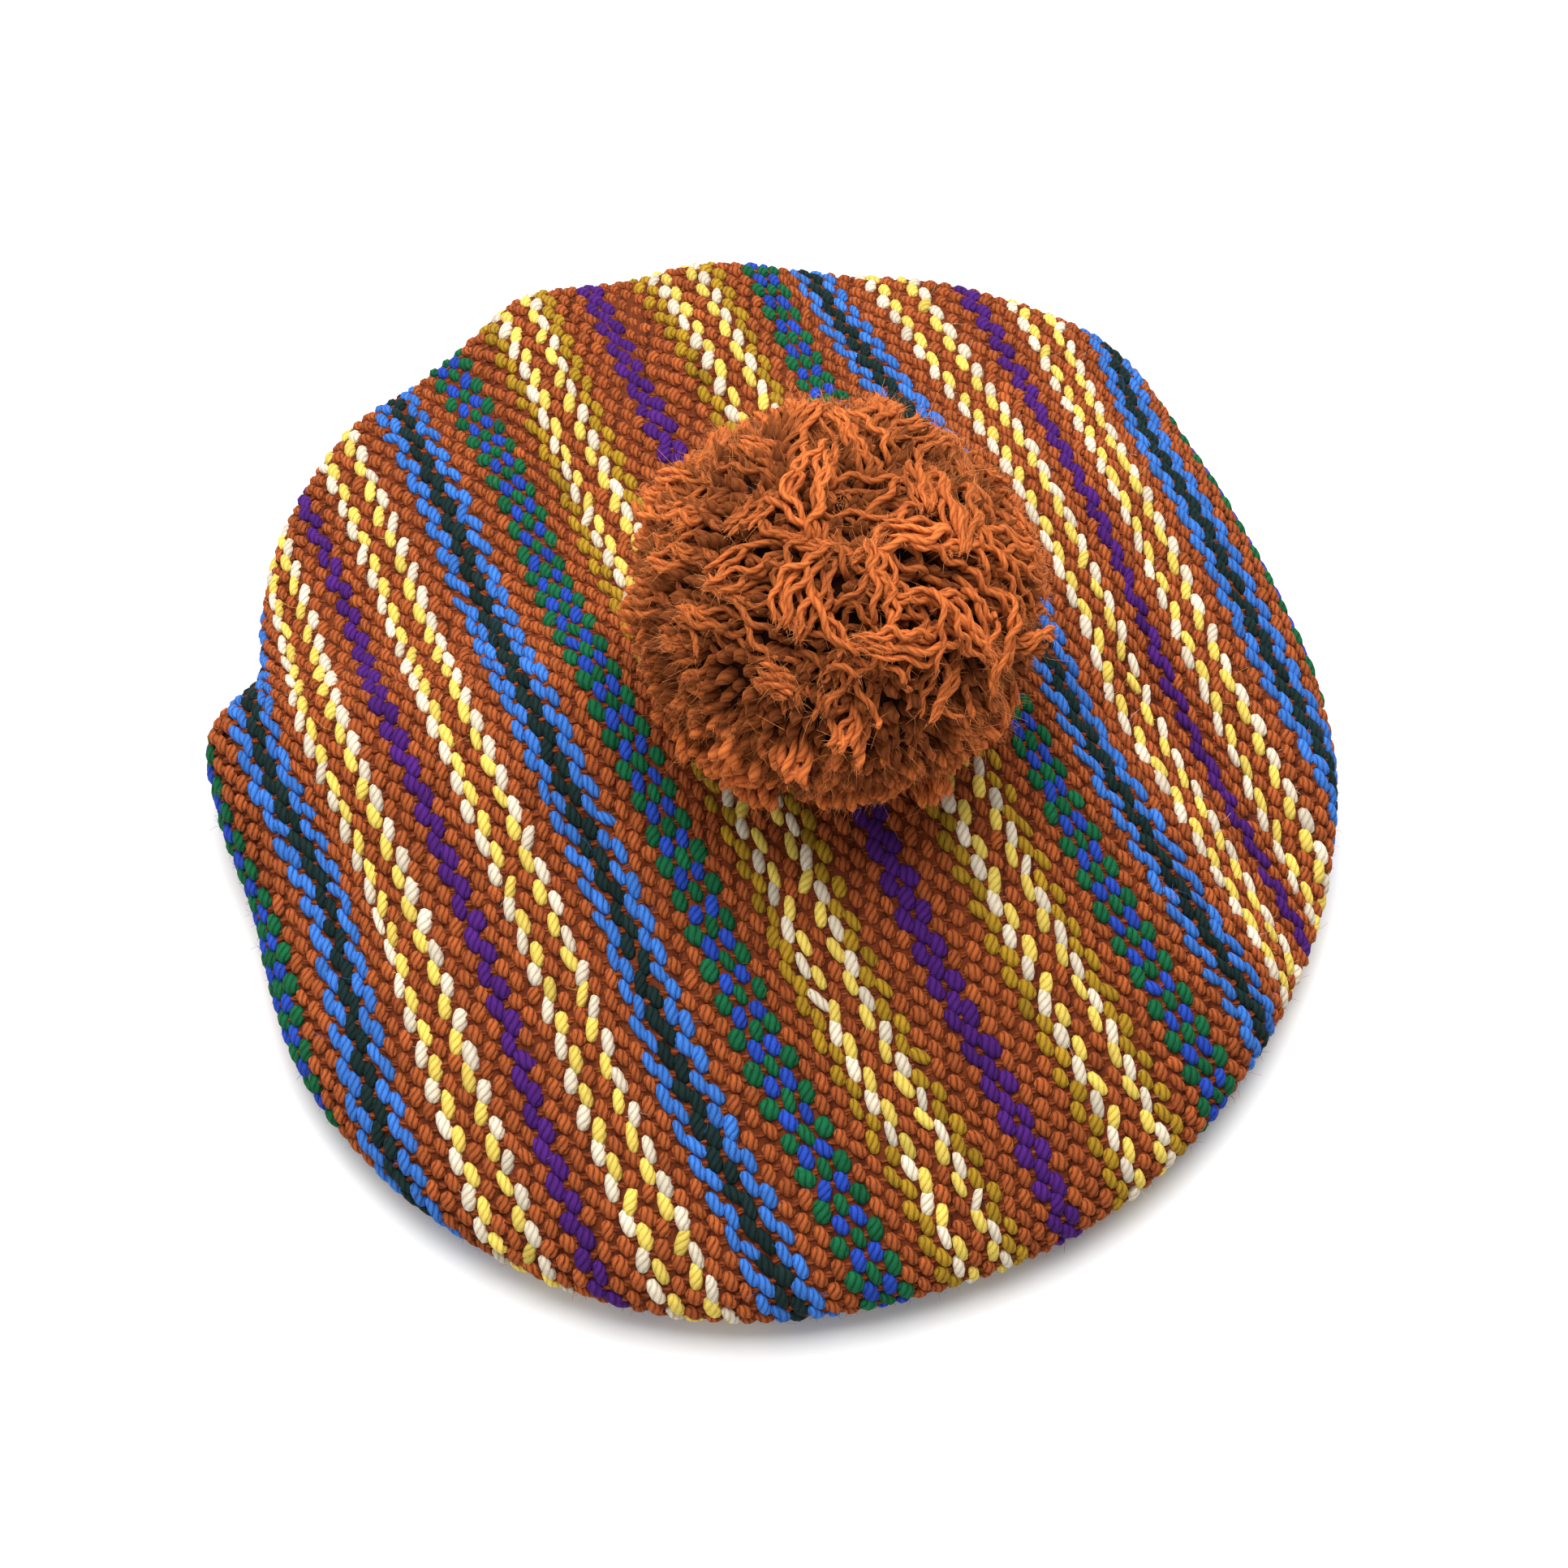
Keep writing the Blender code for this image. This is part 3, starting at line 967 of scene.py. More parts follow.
@dataclass(frozen=True)
class FibreFinish:
    """Loose wool fibres, each in the colour that the piece's dye attribute gives: the yarn's own colour
    on the crown, and a lighter painted highlight on the pompom.
    """

    name: str = "loose_fibres"
    roughness: float = 0.9
    specular: float = 0.1

    def material(self) -> bpy.types.Material:
        """Node material of the finish.

        Returns:
            The material.
        """
        made = bpy.data.materials.new(self.name)
        made.use_nodes = True
        tree = made.node_tree
        shader = tree.nodes["Principled BSDF"]
        shader.inputs["Roughness"].default_value = self.roughness
        shader.inputs["Specular IOR Level"].default_value = self.specular
        dye = tree.nodes.new("ShaderNodeAttribute")
        dye.attribute_name = "dye"
        tree.links.new(dye.outputs["Color"], shader.inputs["Base Color"])
        return made


def material_of(finish: WoolFinish | FibreFinish) -> bpy.types.Material:
    """Material of a finish, made once."""
    return bpy.data.materials.get(finish.name) or finish.material()


@dataclass
class Fibres:
    """Loose fibres that stand off the yarn: short straight fuzz, or longer bent hairs."""

    wardrobe: Wardrobe
    slot: str
    thickness: float = 0.11 * MM
    hair_thickness: float = 0.06 * MM
    bend: float = 0.6
    sides: int = 3
    hair_steps: int = 2
    floor_gap: float = 0.5 * MM

    def build(
        self, name: str, roots: np.ndarray, ways: np.ndarray, lengths: np.ndarray, dye: np.ndarray,
        rng: np.random.Generator, is_hair: bool = False,
    ) -> bpy.types.Object:
        """Make fibres at given roots.

        Args:
            name: Piece name.
            roots: Where the fibres start.
            ways: Unit vectors along which they start.
            lengths: Their lengths.
            dye: Their colours, which on the pompom are lighter as a painted highlight.
            rng: Source of the bends.
            is_hair: Whether they are longer and bent.

        Returns:
            The piece.
        """
        steps = self.hair_steps if is_hair else 1
        template = Template.tube(self.sides, steps) if is_hair else Template.spike(self.sides)
        bow = unit(np.cross(ways, rng.normal(size=ways.shape)))
        run = np.linspace(0.0, 1.0, steps + 1)[None, :, None]
        reach = lengths[:, None, None]
        paths = roots[:, None] + reach * (ways[:, None] * run + bow[:, None] * self.bend * run**2)
        clear = paths[..., 2].min(axis=1) > self.floor_gap
        paths, ways, bow, dye = paths[clear], ways[clear], bow[clear], dye[clear]
        thickness = self.hair_thickness if is_hair else self.thickness
        radii = np.full(paths.shape[:2], thickness / 2.0)
        places, yarn = lay_tubes(paths, radii, unit(np.cross(ways, bow)), template)
        item = self.wardrobe.copies(name, template, places, yarn, np.ones(len(paths)))
        colour = np.repeat(dye, len(template.points), axis=0)
        self.wardrobe.store(item.data, "dye", "FLOAT_VECTOR", colour)
        return self.wardrobe.dress(item, material_of(FibreFinish()), self.slot)


def lay_tubes(
    paths: np.ndarray, radii: np.ndarray, reference: np.ndarray, template: Template
) -> tuple:
    """Place a tube along each path.

    Args:
        paths: Points of each path.
        radii: Radius at each of those points.
        reference: For each path, a direction that it never runs along.
        template: Tube with a ring for each point of a path.

    Returns:
        Places of the template's points, and their places in the yarn.
    """
    tangent = unit(np.gradient(paths, axis=1))
    first = unit(np.cross(tangent, reference[:, None]))
    second = np.cross(tangent, first)
    ring = np.rint(template.points[:, 2] * (paths.shape[1] - 1)).astype(int)
    cosine, sine = template.points[:, 0], template.points[:, 1]
    side = first[:, ring] * cosine[None, :, None] + second[:, ring] * sine[None, :, None]
    places = paths[:, ring] + side * radii[:, ring, None]
    length = np.linalg.norm(np.diff(paths, axis=1), axis=2)
    run = np.concatenate((np.zeros((len(paths), 1)), np.cumsum(length, axis=1)), axis=1)
    yarn = np.empty(places.shape)
    yarn[..., 0] = run[:, ring]
    yarn[..., 1] = cosine
    yarn[..., 2] = sine
    return places, yarn


@dataclass
class Sites:
    """Crossings of warp and weft, as arrays with one row for each crossing."""

    point: np.ndarray
    along: np.ndarray
    across: np.ndarray
    normal: np.ndarray
    bend: np.ndarray
    pitch: np.ndarray
    column: np.ndarray
    is_up: np.ndarray

    def pick(self, chosen: np.ndarray) -> "Sites":
        """The crossings that a mask chooses."""
        return Sites(**{name: values[chosen] for name, values in vars(self).items()})

    def __len__(self) -> int:
        """How many crossings there are."""
        return len(self.point)


@dataclass(frozen=True)
class Unevenness:
    """How much the beads of hand-spun yarn differ, as standard deviations.

    turn is in radians and nudge in metres, and the others are shares. A warp yarn's beads
    take up the width of their column between least_spread and most_spread of the usual
    one. A bead's twist starts anywhere in a length of twist_start.
    """

    turn: float = 0.17
    length: float = 0.07
    width: float = 0.08
    height: float = 0.06
    nudge: float = 0.18 * MM
    tone: float = 0.11
    least_spread: float = 0.78
    most_spread: float = 1.12
    twist_start: float = 5.0 * MM


UNEVEN = Unevenness()


def lay_beads(
    sites: Sites, template: Template, form: YarnForm, rng: np.random.Generator, is_weft: bool
) -> tuple:
    """Place a bead at each crossing, bent with the cloth and a little uneven.

    Args:
        sites: Crossings.
        template: Bead of reach 1.
        form: The yarn's form.
        rng: Source of the unevenness.
        is_weft: Whether the bead runs across the warp.

    Returns:
        Places of the points, their places in the yarn, and the tones.
    """
    count = len(sites)
    lean = math.radians(form.lean)
    spread = np.clip(sites.pitch / COLUMN_PITCH, UNEVEN.least_spread, UNEVEN.most_spread)
    turn = lean + rng.normal(0.0, UNEVEN.turn, count) + (QUARTER_TURN if is_weft else 0.0)
    ahead = sites.along * np.cos(turn)[:, None] + sites.across * np.sin(turn)[:, None]
    aside = sites.across * np.cos(turn)[:, None] - sites.along * np.sin(turn)[:, None]
    half_long = form.length * MM / 2.0 * rng.normal(1.0, UNEVEN.length, count)
    half_wide = form.width * MM / 2.0 * rng.normal(1.0, UNEVEN.width, count)
    if is_weft:
        half_long = half_long * spread
    else:
        half_wide = half_wide * spread
    tall = form.height * MM * rng.normal(1.0, UNEVEN.height, count)
    x = template.points[None, :, 0] * half_long[:, None]
    y = template.points[None, :, 1] * half_wide[:, None]
    z = template.points[None, :, 2] * tall[:, None]
    sag = 0.0 if is_weft else 0.5 * sites.bend[:, None] * x**2
    nudge = rng.normal(0.0, UNEVEN.nudge, (count, 2))
    origin = (
        sites.point
        + sites.along * nudge[:, :1]
        + sites.across * nudge[:, 1:]
        - sites.normal * (form.sink * MM)
    )
    places = (
        origin[:, None, :]
        + ahead[:, None, :] * x[..., None]
        + aside[:, None, :] * y[..., None]
        + sites.normal[:, None, :] * (z + sag)[..., None]
    )
    radius = np.maximum(np.hypot(template.points[:, 1], template.points[:, 2]), 1e-6)
    yarn = np.empty(places.shape)
    yarn[..., 0] = x + rng.uniform(0.0, UNEVEN.twist_start, count)[:, None]
    yarn[..., 1] = template.points[:, 1] / radius
    yarn[..., 2] = template.points[:, 2] / radius
    return places, yarn, rng.normal(1.0, UNEVEN.tone, count)


def make_sites(
    here: np.ndarray, ahead: np.ndarray, behind: np.ndarray, right: np.ndarray, left: np.ndarray,
    column: np.ndarray, is_up: np.ndarray, step: float,
) -> Sites:
    """Directions, bend and spacing at crossings, from the skin points round them.

    Args:
        here: The crossings.
        ahead: Points a step further along the warp.
        behind: Points a step back.
        right: Crossings' places in the next column.
        left: The same in the column before.
        column: Column numbers.
        is_up: Whether the warp passes over.
        step: Length of the step.

    Returns:
        The crossings.
    """
    along = unit(ahead - behind)
    normal = unit(np.cross(along, right - left))
    across = np.cross(normal, along)
    bend = ((ahead + behind - 2.0 * here) * normal).sum(-1) / step**2
    pitch = np.abs(((right - left) * across).sum(-1)) / 2.0
    return Sites(here, along, across, normal, bend, pitch, column, is_up)


@dataclass
class ClothShell:
    """Thin closed shell of backing cloth, round an axis, just inside a skin."""

    has_middle: bool
    spokes: int = 110
    rings: int = 32
    reading_step: float = 0.004

    def build(
        self, name: str, skin: Callable[[np.ndarray, np.ndarray], np.ndarray], wardrobe: Wardrobe
    ) -> bpy.types.Object:
        """Make the shell.

        Args:
            name: Piece name.
            skin: Gives skin points for directions round the axis and shares of the way out.
            wardrobe: Keeps the attributes and puts the piece into the scene.

        Returns:
            The piece, without a finish.
        """
        # A flat ring between radius 1 and radius 2 is spun, and then laid on the skin.
        mesh = bmesh.new()
        line = [mesh.verts.new((1.0 + ring / self.rings, 0.0, 0.0)) for ring in range(self.rings + 1)]
        edges = [mesh.edges.new(pair) for pair in zip(line, line[1:])]
        bmesh.ops.spin(
            mesh, geom=line + edges, cent=(0.0, 0.0, 0.0), axis=(0.0, 0.0, 1.0),
            angle=FULL_TURN, steps=self.spokes, use_merge=True, use_duplicate=False,
        )
        if self.has_middle:
            inner = [e for e in mesh.edges if e.is_boundary and e.verts[0].co.length < 1.5]
            bmesh.ops.holes_fill(mesh, edges=inner, sides=len(inner))
        place = np.array([vert.co for vert in mesh.verts])
        direction = np.arctan2(place[:, 1], place[:, 0])
        share = np.hypot(place[:, 0], place[:, 1]) - 1.0
        here = skin(direction, share)
        step = self.reading_step
        outward = skin(direction, share + step) - skin(direction, share - step)
        around = skin(direction + step, share) - skin(direction - step, share)
        normal = unit(np.cross(outward, around))
        for vert, point in zip(mesh.verts, here - normal * BACKING_SINK):
            vert.co = point
        mesh.normal_update()
        mesh.faces.ensure_lookup_table()
        face = mesh.faces[0]
        if face.normal.dot(Vector(normal[face.verts[0].index])) < 0.0:
            bmesh.ops.reverse_faces(mesh, faces=mesh.faces)
        item = wardrobe.piece(name, mesh, here)
        item.data.shade_smooth()
        wall = item.modifiers.new("cloth", "SOLIDIFY")
        wall.thickness = BACKING_WALL
        wall.offset = -1.0
        return item


@dataclass
class WovenCrown:
    """Striped cloth of the crown: backing, weft and warp yarns, and loose fibres."""

    surface: CrownSurface
    wardrobe: Wardrobe
    slot: str = "striped_wool_cloth"
    seed: int = 11
    slant: float = math.radians(24.0)
    first_column: int = -92
    last_column: int = 92
    warp_reach: float = 190.0 * MM
    warp_step: float = 1.0 * MM
    bend_step: float = 2.5 * MM
    edge_margin: float = 1.5 * MM
    middle_green: int = 21
    middle_green_share: float = 0.68
    warp_fineness: tuple = (7, 5)
    weft_fineness: tuple = (4, 3)
    cut_size: tuple = (0.34, 0.34)
    cut_area: float = 0.088
    least_share: float = 0.005
    fuzz_count: int = 12000
    fuzz_scale: float = 0.24 * MM
    hair_count: int = 1300
    hair_scale: float = 0.5 * MM
    fibre_shift: float = 1.0 * MM
    fibre_narrowing: float = 0.8
    fibre_root: float = 0.6 * MM
    fibre_rise: float = 0.6
    fibre_lie: float = 0.7

    def warp_axes(self) -> tuple:
        """Axes of the cloth in plan.

        Returns:
            Directions along the warp, towards the front, and across it.
        """
        along = np.array((math.sin(self.slant), -math.cos(self.slant)))
        across = np.array((math.cos(self.slant), math.sin(self.slant)))
        return along, across

    def grid(self) -> tuple:
        """Skin points of every warp column, and where they lie on the flat layout.

        Returns:
            Columns, stations along the warp, skin points and cloth left to the hem.
        """
        columns = np.arange(self.first_column - 1, self.last_column + 2)
        warp = np.arange(-self.warp_reach, self.warp_reach + self.warp_step, self.warp_step)
        lines = np.array(sorted(STRIPE_COURSES))
        courses = np.array([STRIPE_COURSES[line] for line in lines], float) * MM
        at_stations = smooth_curve(lines, courses, columns.astype(float))
        offset = smooth_curve(np.array(STATIONS) * MM, at_stations.T, warp).T
        along, across = self.warp_axes()
        flat = offset[..., None] * across + warp[None, :, None] * along
        return columns, warp, self.surface.points(flat), self.surface.cloth_left(flat)

    def sites(self) -> Sites:
        """Every crossing of the crown's cloth.

        Returns:
            The crossings, column by column.
        """
        columns, warp, skin, left = self.grid()
        stations = np.array(STATIONS) * MM
        spacing = smooth_curve(stations, np.array(ROW_SPACING), warp[1:] - self.warp_step / 2)
        bow_lines = np.array(sorted(ROW_BOW), float)
        bow_rows = np.array([ROW_BOW[line] for line in bow_lines])
        bow = smooth_curve(bow_lines, bow_rows, columns.astype(float))

        def read(line: int, places: np.ndarray) -> np.ndarray:
            """Skin points of a line of the grid at places along the warp."""
            return np.stack([np.interp(places, warp, skin[line][:, axis]) for axis in range(3)], -1)

        parts = []
        for line in range(1, len(columns) - 1):
            on_cloth = np.flatnonzero(left[line] > self.edge_margin)
            if len(on_cloth) < 2:
                continue
            length = np.linalg.norm(np.diff(skin[line], axis=0), axis=1)
            run = np.concatenate(([0.0], np.cumsum(length / (spacing * MM))))
            run = run - np.interp(ROW_BOW_STATION * MM, warp, run) - bow[line]
            cloth = slice(on_cloth[0], on_cloth[-1] + 1)
            picks = np.arange(math.ceil(run[cloth][0]), math.floor(run[cloth][-1]) + 1)
            at = np.interp(picks, run[cloth], warp[cloth])
            parts.append(
                (
                    read(line, at), read(line, at + self.bend_step), read(line, at - self.bend_step),
                    read(line + 1, at), read(line - 1, at),
                    np.full(len(at), columns[line]), (columns[line] + picks) % 2 == 0,
                )
            )
        return make_sites(*(np.concatenate(part) for part in zip(*parts)), self.bend_step)

    def build(self) -> list:
        """Make every piece of the crown.

        Returns:
            The pieces.
        """
        sites = self.sites()
        LOG.info("crossings of the crown: %d", len(sites))
        pieces = [self.build_backing()]
        rng = np.random.default_rng(self.seed)
        shown = sites.pick(sites.is_up)
        hidden = sites.pick(~sites.is_up)
        pieces.append(
            self.wardrobe.beads(
                "crown_weft", self.slot, hidden, WEFT, self.weft_fineness, rng, is_weft=True
            )
        )
        yarns = np.array([yarn_of_column(int(column)).value for column in shown.column])
        for yarn in Yarn:
            own = yarns == yarn.value
            if yarn is Yarn.RUST:
                for side, half in (("left", shown.column < 0), ("right", shown.column >= 0)):
                    item = self.build_warp(f"rust_warp_{side}", yarn, shown.pick(own & half), rng)
                    pieces.append(item)
            else:
                pieces.append(self.build_warp(f"{yarn.value}_warp", yarn, shown.pick(own), rng))
        pieces.append(self.build_fibres("crown_fuzz", shown, rng))
        pieces.append(self.build_fibres("crown_hairs", shown, rng, is_hair=True))
        return pieces

    def build_warp(
        self, name: str, yarn: Yarn, sites: Sites, rng: np.random.Generator
    ) -> bpy.types.Object:
        """Beads of one warp yarn, narrower in the middle column of a green stripe.

        Args:
            name: Piece name.
            yarn: The yarn.
            sites: Crossings where it shows.
            rng: Source of the unevenness.

        Returns:
            The piece.
        """
        if yarn is Yarn.GREEN:
            is_middle = abs(sites.column) % (2 * self.middle_green) == self.middle_green
            sites.pitch = np.where(is_middle, sites.pitch * self.middle_green_share, sites.pitch)
        return self.wardrobe.beads(name, self.slot, sites, YARNS[yarn], self.warp_fineness, rng)

    def build_fibres(
        self, name: str, sites: Sites, rng: np.random.Generator, is_hair: bool = False
    ) -> bpy.types.Object:
        """Loose fibres that stand off the cloth, in the colours of their yarns.

        Args:
            name: Piece name.
            sites: Crossings where the warp shows.
            rng: Source of the places.
            is_hair: Whether the fibres are longer and bent.

        Returns:
            The piece.
        """
        count = self.hair_count if is_hair else self.fuzz_count
        picked = sites.pick(rng.integers(0, len(sites), count))
        shift = rng.normal(0.0, self.fibre_shift, (count, 2))
        roots = picked.point + picked.along * shift[:, :1]
        roots = roots + picked.across * shift[:, 1:] * self.fibre_narrowing
        ways = unit(
            picked.normal * self.fibre_rise
            + picked.along * rng.normal(0.0, self.fibre_lie, (count, 1))
            + picked.across * rng.normal(0.0, self.fibre_lie, (count, 1))
        )
        lengths = rng.gamma(FIBRE_SHAPE, self.hair_scale if is_hair else self.fuzz_scale, count)
        dye = np.array([YARNS[yarn_of_column(int(c))].finish.light[:3] for c in picked.column])
        roots = roots + picked.normal * self.fibre_root
        fibres = Fibres(self.wardrobe, self.slot)
        return fibres.build(name, roots, ways, lengths, dye, rng, is_hair)

    def skin(self, direction: np.ndarray, share: np.ndarray) -> np.ndarray:
        """Points of the crown from its top, at share 0, to its hem.

        Args:
            direction: Directions from the crown's top, in radians.
            share: Shares of the way along the cloth to the hem.

        Returns:
            Points along the last axis.
        """
        top = np.array(self.surface.top[:2]) - self.surface.middle
        ray = np.stack((np.cos(direction), np.sin(direction)), -1)
        out = np.maximum(share, self.least_share) * self.surface.cloth_left(top + ray * 1e-6)
        return self.surface.points(top + ray * out[..., None])

    def build_backing(self) -> bpy.types.Object:
        """Cloth just under the yarns, dark with painted shade, in place of the crown's plain solid.

        Returns:
            The piece.
        """
        item = ClothShell(has_middle=True).build("crown_cloth", self.skin, self.wardrobe)
        self.wardrobe.dress(item, material_of(PAINTED_SHADE_WOOL), self.slot, "crown_top")
        return item


@dataclass
class WovenUnder:
    """Plain rust cloth of the underside, from the crown's hem in to the headband."""

    surface: UnderSurface
    wardrobe: Wardrobe
    slot: str = "under_wool_cloth"
    seed: int = 23
    reach: float = 150.0 * MM
    row_spacing: float = 4.3 * MM
    bend_step: float = 2.0 * MM
    edge_margin: float = 1.2 * MM
    fineness: tuple = (6, 3)
    rings: int = 14
    cut_size: tuple = (0.26, 0.26)
    cut_area: float = 0.026

    def build(self) -> list:
        """Make the warp's beads and the backing of the underside.

        Returns:
            The pieces.
        """
        rng = np.random.default_rng(self.seed)
        sites = self.sites()
        shown = sites.pick(sites.is_up)
        form = YARNS[Yarn.RUST]
        yarns = self.wardrobe.beads("under_warp", self.slot, shown, form, self.fineness, rng)
        return [yarns, self.build_backing()]

    def sites(self) -> Sites:
        """Crossings of the underside's cloth, seen from below.

        Returns:
            The crossings.
        """
        along, across = WovenCrown(self.surface.crown, self.wardrobe).warp_axes()
        columns = np.arange(-int(self.reach / COLUMN_PITCH), int(self.reach / COLUMN_PITCH) + 1)
        picks = np.arange(-int(self.reach / self.row_spacing), int(self.reach / self.row_spacing) + 1)
        column, pick = (grid.ravel() for grid in np.meshgrid(columns, picks))
        plan = column[:, None] * COLUMN_PITCH * across + pick[:, None] * self.row_spacing * along
        chosen = self.surface.covers(plan, self.edge_margin)
        plan, column, pick = plan[chosen], column[chosen], pick[chosen]
        places = (
            plan, plan + along * self.bend_step, plan - along * self.bend_step,
            plan - across * COLUMN_PITCH, plan + across * COLUMN_PITCH,
        )
        skin = (self.surface.points(place) for place in places)
        return make_sites(*skin, column, (column + pick) % 2 == 0, self.bend_step)

    def skin(self, direction: np.ndarray, share: np.ndarray) -> np.ndarray:
        """Points of the underside from the hem, at share 0, in to the headband.

        Args:
            direction: Directions from the headband's middle, in radians.
            share: Shares of the way in.

        Returns:
            Points along the last axis.
        """
        hem_out, _ = self.surface.hem(direction)
        out = hem_out + (self.surface.inner_radius - hem_out) * share
        ray = np.stack((np.cos(direction), np.sin(direction)), -1)
        return self.surface.points(self.surface.centre + ray * out[..., None])

    def build_backing(self) -> bpy.types.Object:
        """Cloth behind the yarns, dark with painted shade, in place of the underside's plain solid.

        Returns:
            The piece.
        """
        shell = ClothShell(has_middle=False, rings=self.rings)
        item = shell.build("under_cloth", self.skin, self.wardrobe)
        self.wardrobe.dress(item, material_of(PAINTED_SHADE_WOOL), self.slot, "crown_under")
        return item


@dataclass
class Headband:
    """Upright band of wool ribs round the head opening, on a thin lining."""

    centre: np.ndarray
    wardrobe: Wardrobe
    slot: str = "band_wool_cloth"
    seed: int = 31
    inner_radius: float = 86.0 * MM
    wall: float = 3.2 * MM
    height: float = 25.0 * MM
    ribs: int = 150
    rib_radius: float = 1.9 * MM
    rib_end: float = 0.12
    rib_fullness: float = 2.2
    rib_tone_spread: float = 0.06
    sides: int = 8
    steps: int = 8
    lean: float = 0.5 * MM
    foot_gap: float = 0.15 * MM
    lining_inset: float = 1.2 * MM

    def build(self) -> list:
        """Make the ribs, in place of the band's plain solid, and the lining between them.

        Returns:
            The pieces.
        """
        rng = np.random.default_rng(self.seed)
        angle = np.arange(self.ribs) * FULL_TURN / self.ribs
        turn = np.linspace(0.0, math.pi, self.steps + 1)
        level = self.height / 2.0 + (self.height / 2.0 - self.foot_gap) * -np.cos(turn)
        middle_radius = self.inner_radius + self.wall / 2.0
        swing = angle[:, None] + self.lean / middle_radius * np.sin(turn * 2.0)[None, :]
        paths = np.stack(
            (
                self.centre[0] + middle_radius * np.cos(swing),
                self.centre[1] + middle_radius * np.sin(swing),
                np.broadcast_to(level, swing.shape),
            ),
            -1,
        )
        fullness = np.clip(np.sin(turn) * self.rib_fullness, self.rib_end, 1.0)
        radii = np.broadcast_to(self.rib_radius * fullness, swing.shape)
        reference = np.stack((-np.sin(angle), np.cos(angle), np.zeros_like(angle)), -1)
        template = Template.tube(self.sides, self.steps)
        places, yarn = lay_tubes(paths, radii, reference, template)
        tone = rng.normal(1.0, self.rib_tone_spread, self.ribs)
        ribs = self.wardrobe.copies("band_ribs", template, places, yarn, tone)
        self.wardrobe.dress(ribs, material_of(BAND_WOOL), self.slot, "headband")
        return [ribs, self.build_lining()]

    def build_lining(self) -> bpy.types.Object:
        """Thin ring of cloth in the middle of the band's wall, dark with painted shade between the ribs.

        Returns:
            The piece.
        """
        mesh = bmesh.new()
        inset = self.lining_inset
        profile = (
            (self.inner_radius + inset, inset),
            (self.inner_radius + inset, self.height - inset),
            (self.inner_radius + self.wall - inset, self.height - inset),
            (self.inner_radius + self.wall - inset, inset),
        )
        line = [mesh.verts.new((radius, 0.0, level)) for radius, level in profile]
        edges = [mesh.edges.new(pair) for pair in zip(line, line[1:] + line[:1])]
        bmesh.ops.spin(
            mesh, geom=line + edges, cent=(0.0, 0.0, 0.0), axis=(0.0, 0.0, 1.0),
            angle=FULL_TURN, steps=self.ribs, use_merge=True, use_duplicate=False,
        )
        bmesh.ops.recalc_face_normals(mesh, faces=mesh.faces)
        bmesh.ops.translate(mesh, verts=mesh.verts, vec=(*self.centre, 0.0))
        places = np.array([vert.co for vert in mesh.verts])
        item = self.wardrobe.piece("band_cloth", mesh, places)
        self.wardrobe.dress(item, material_of(PAINTED_SHADE_WOOL), self.slot)
        return item


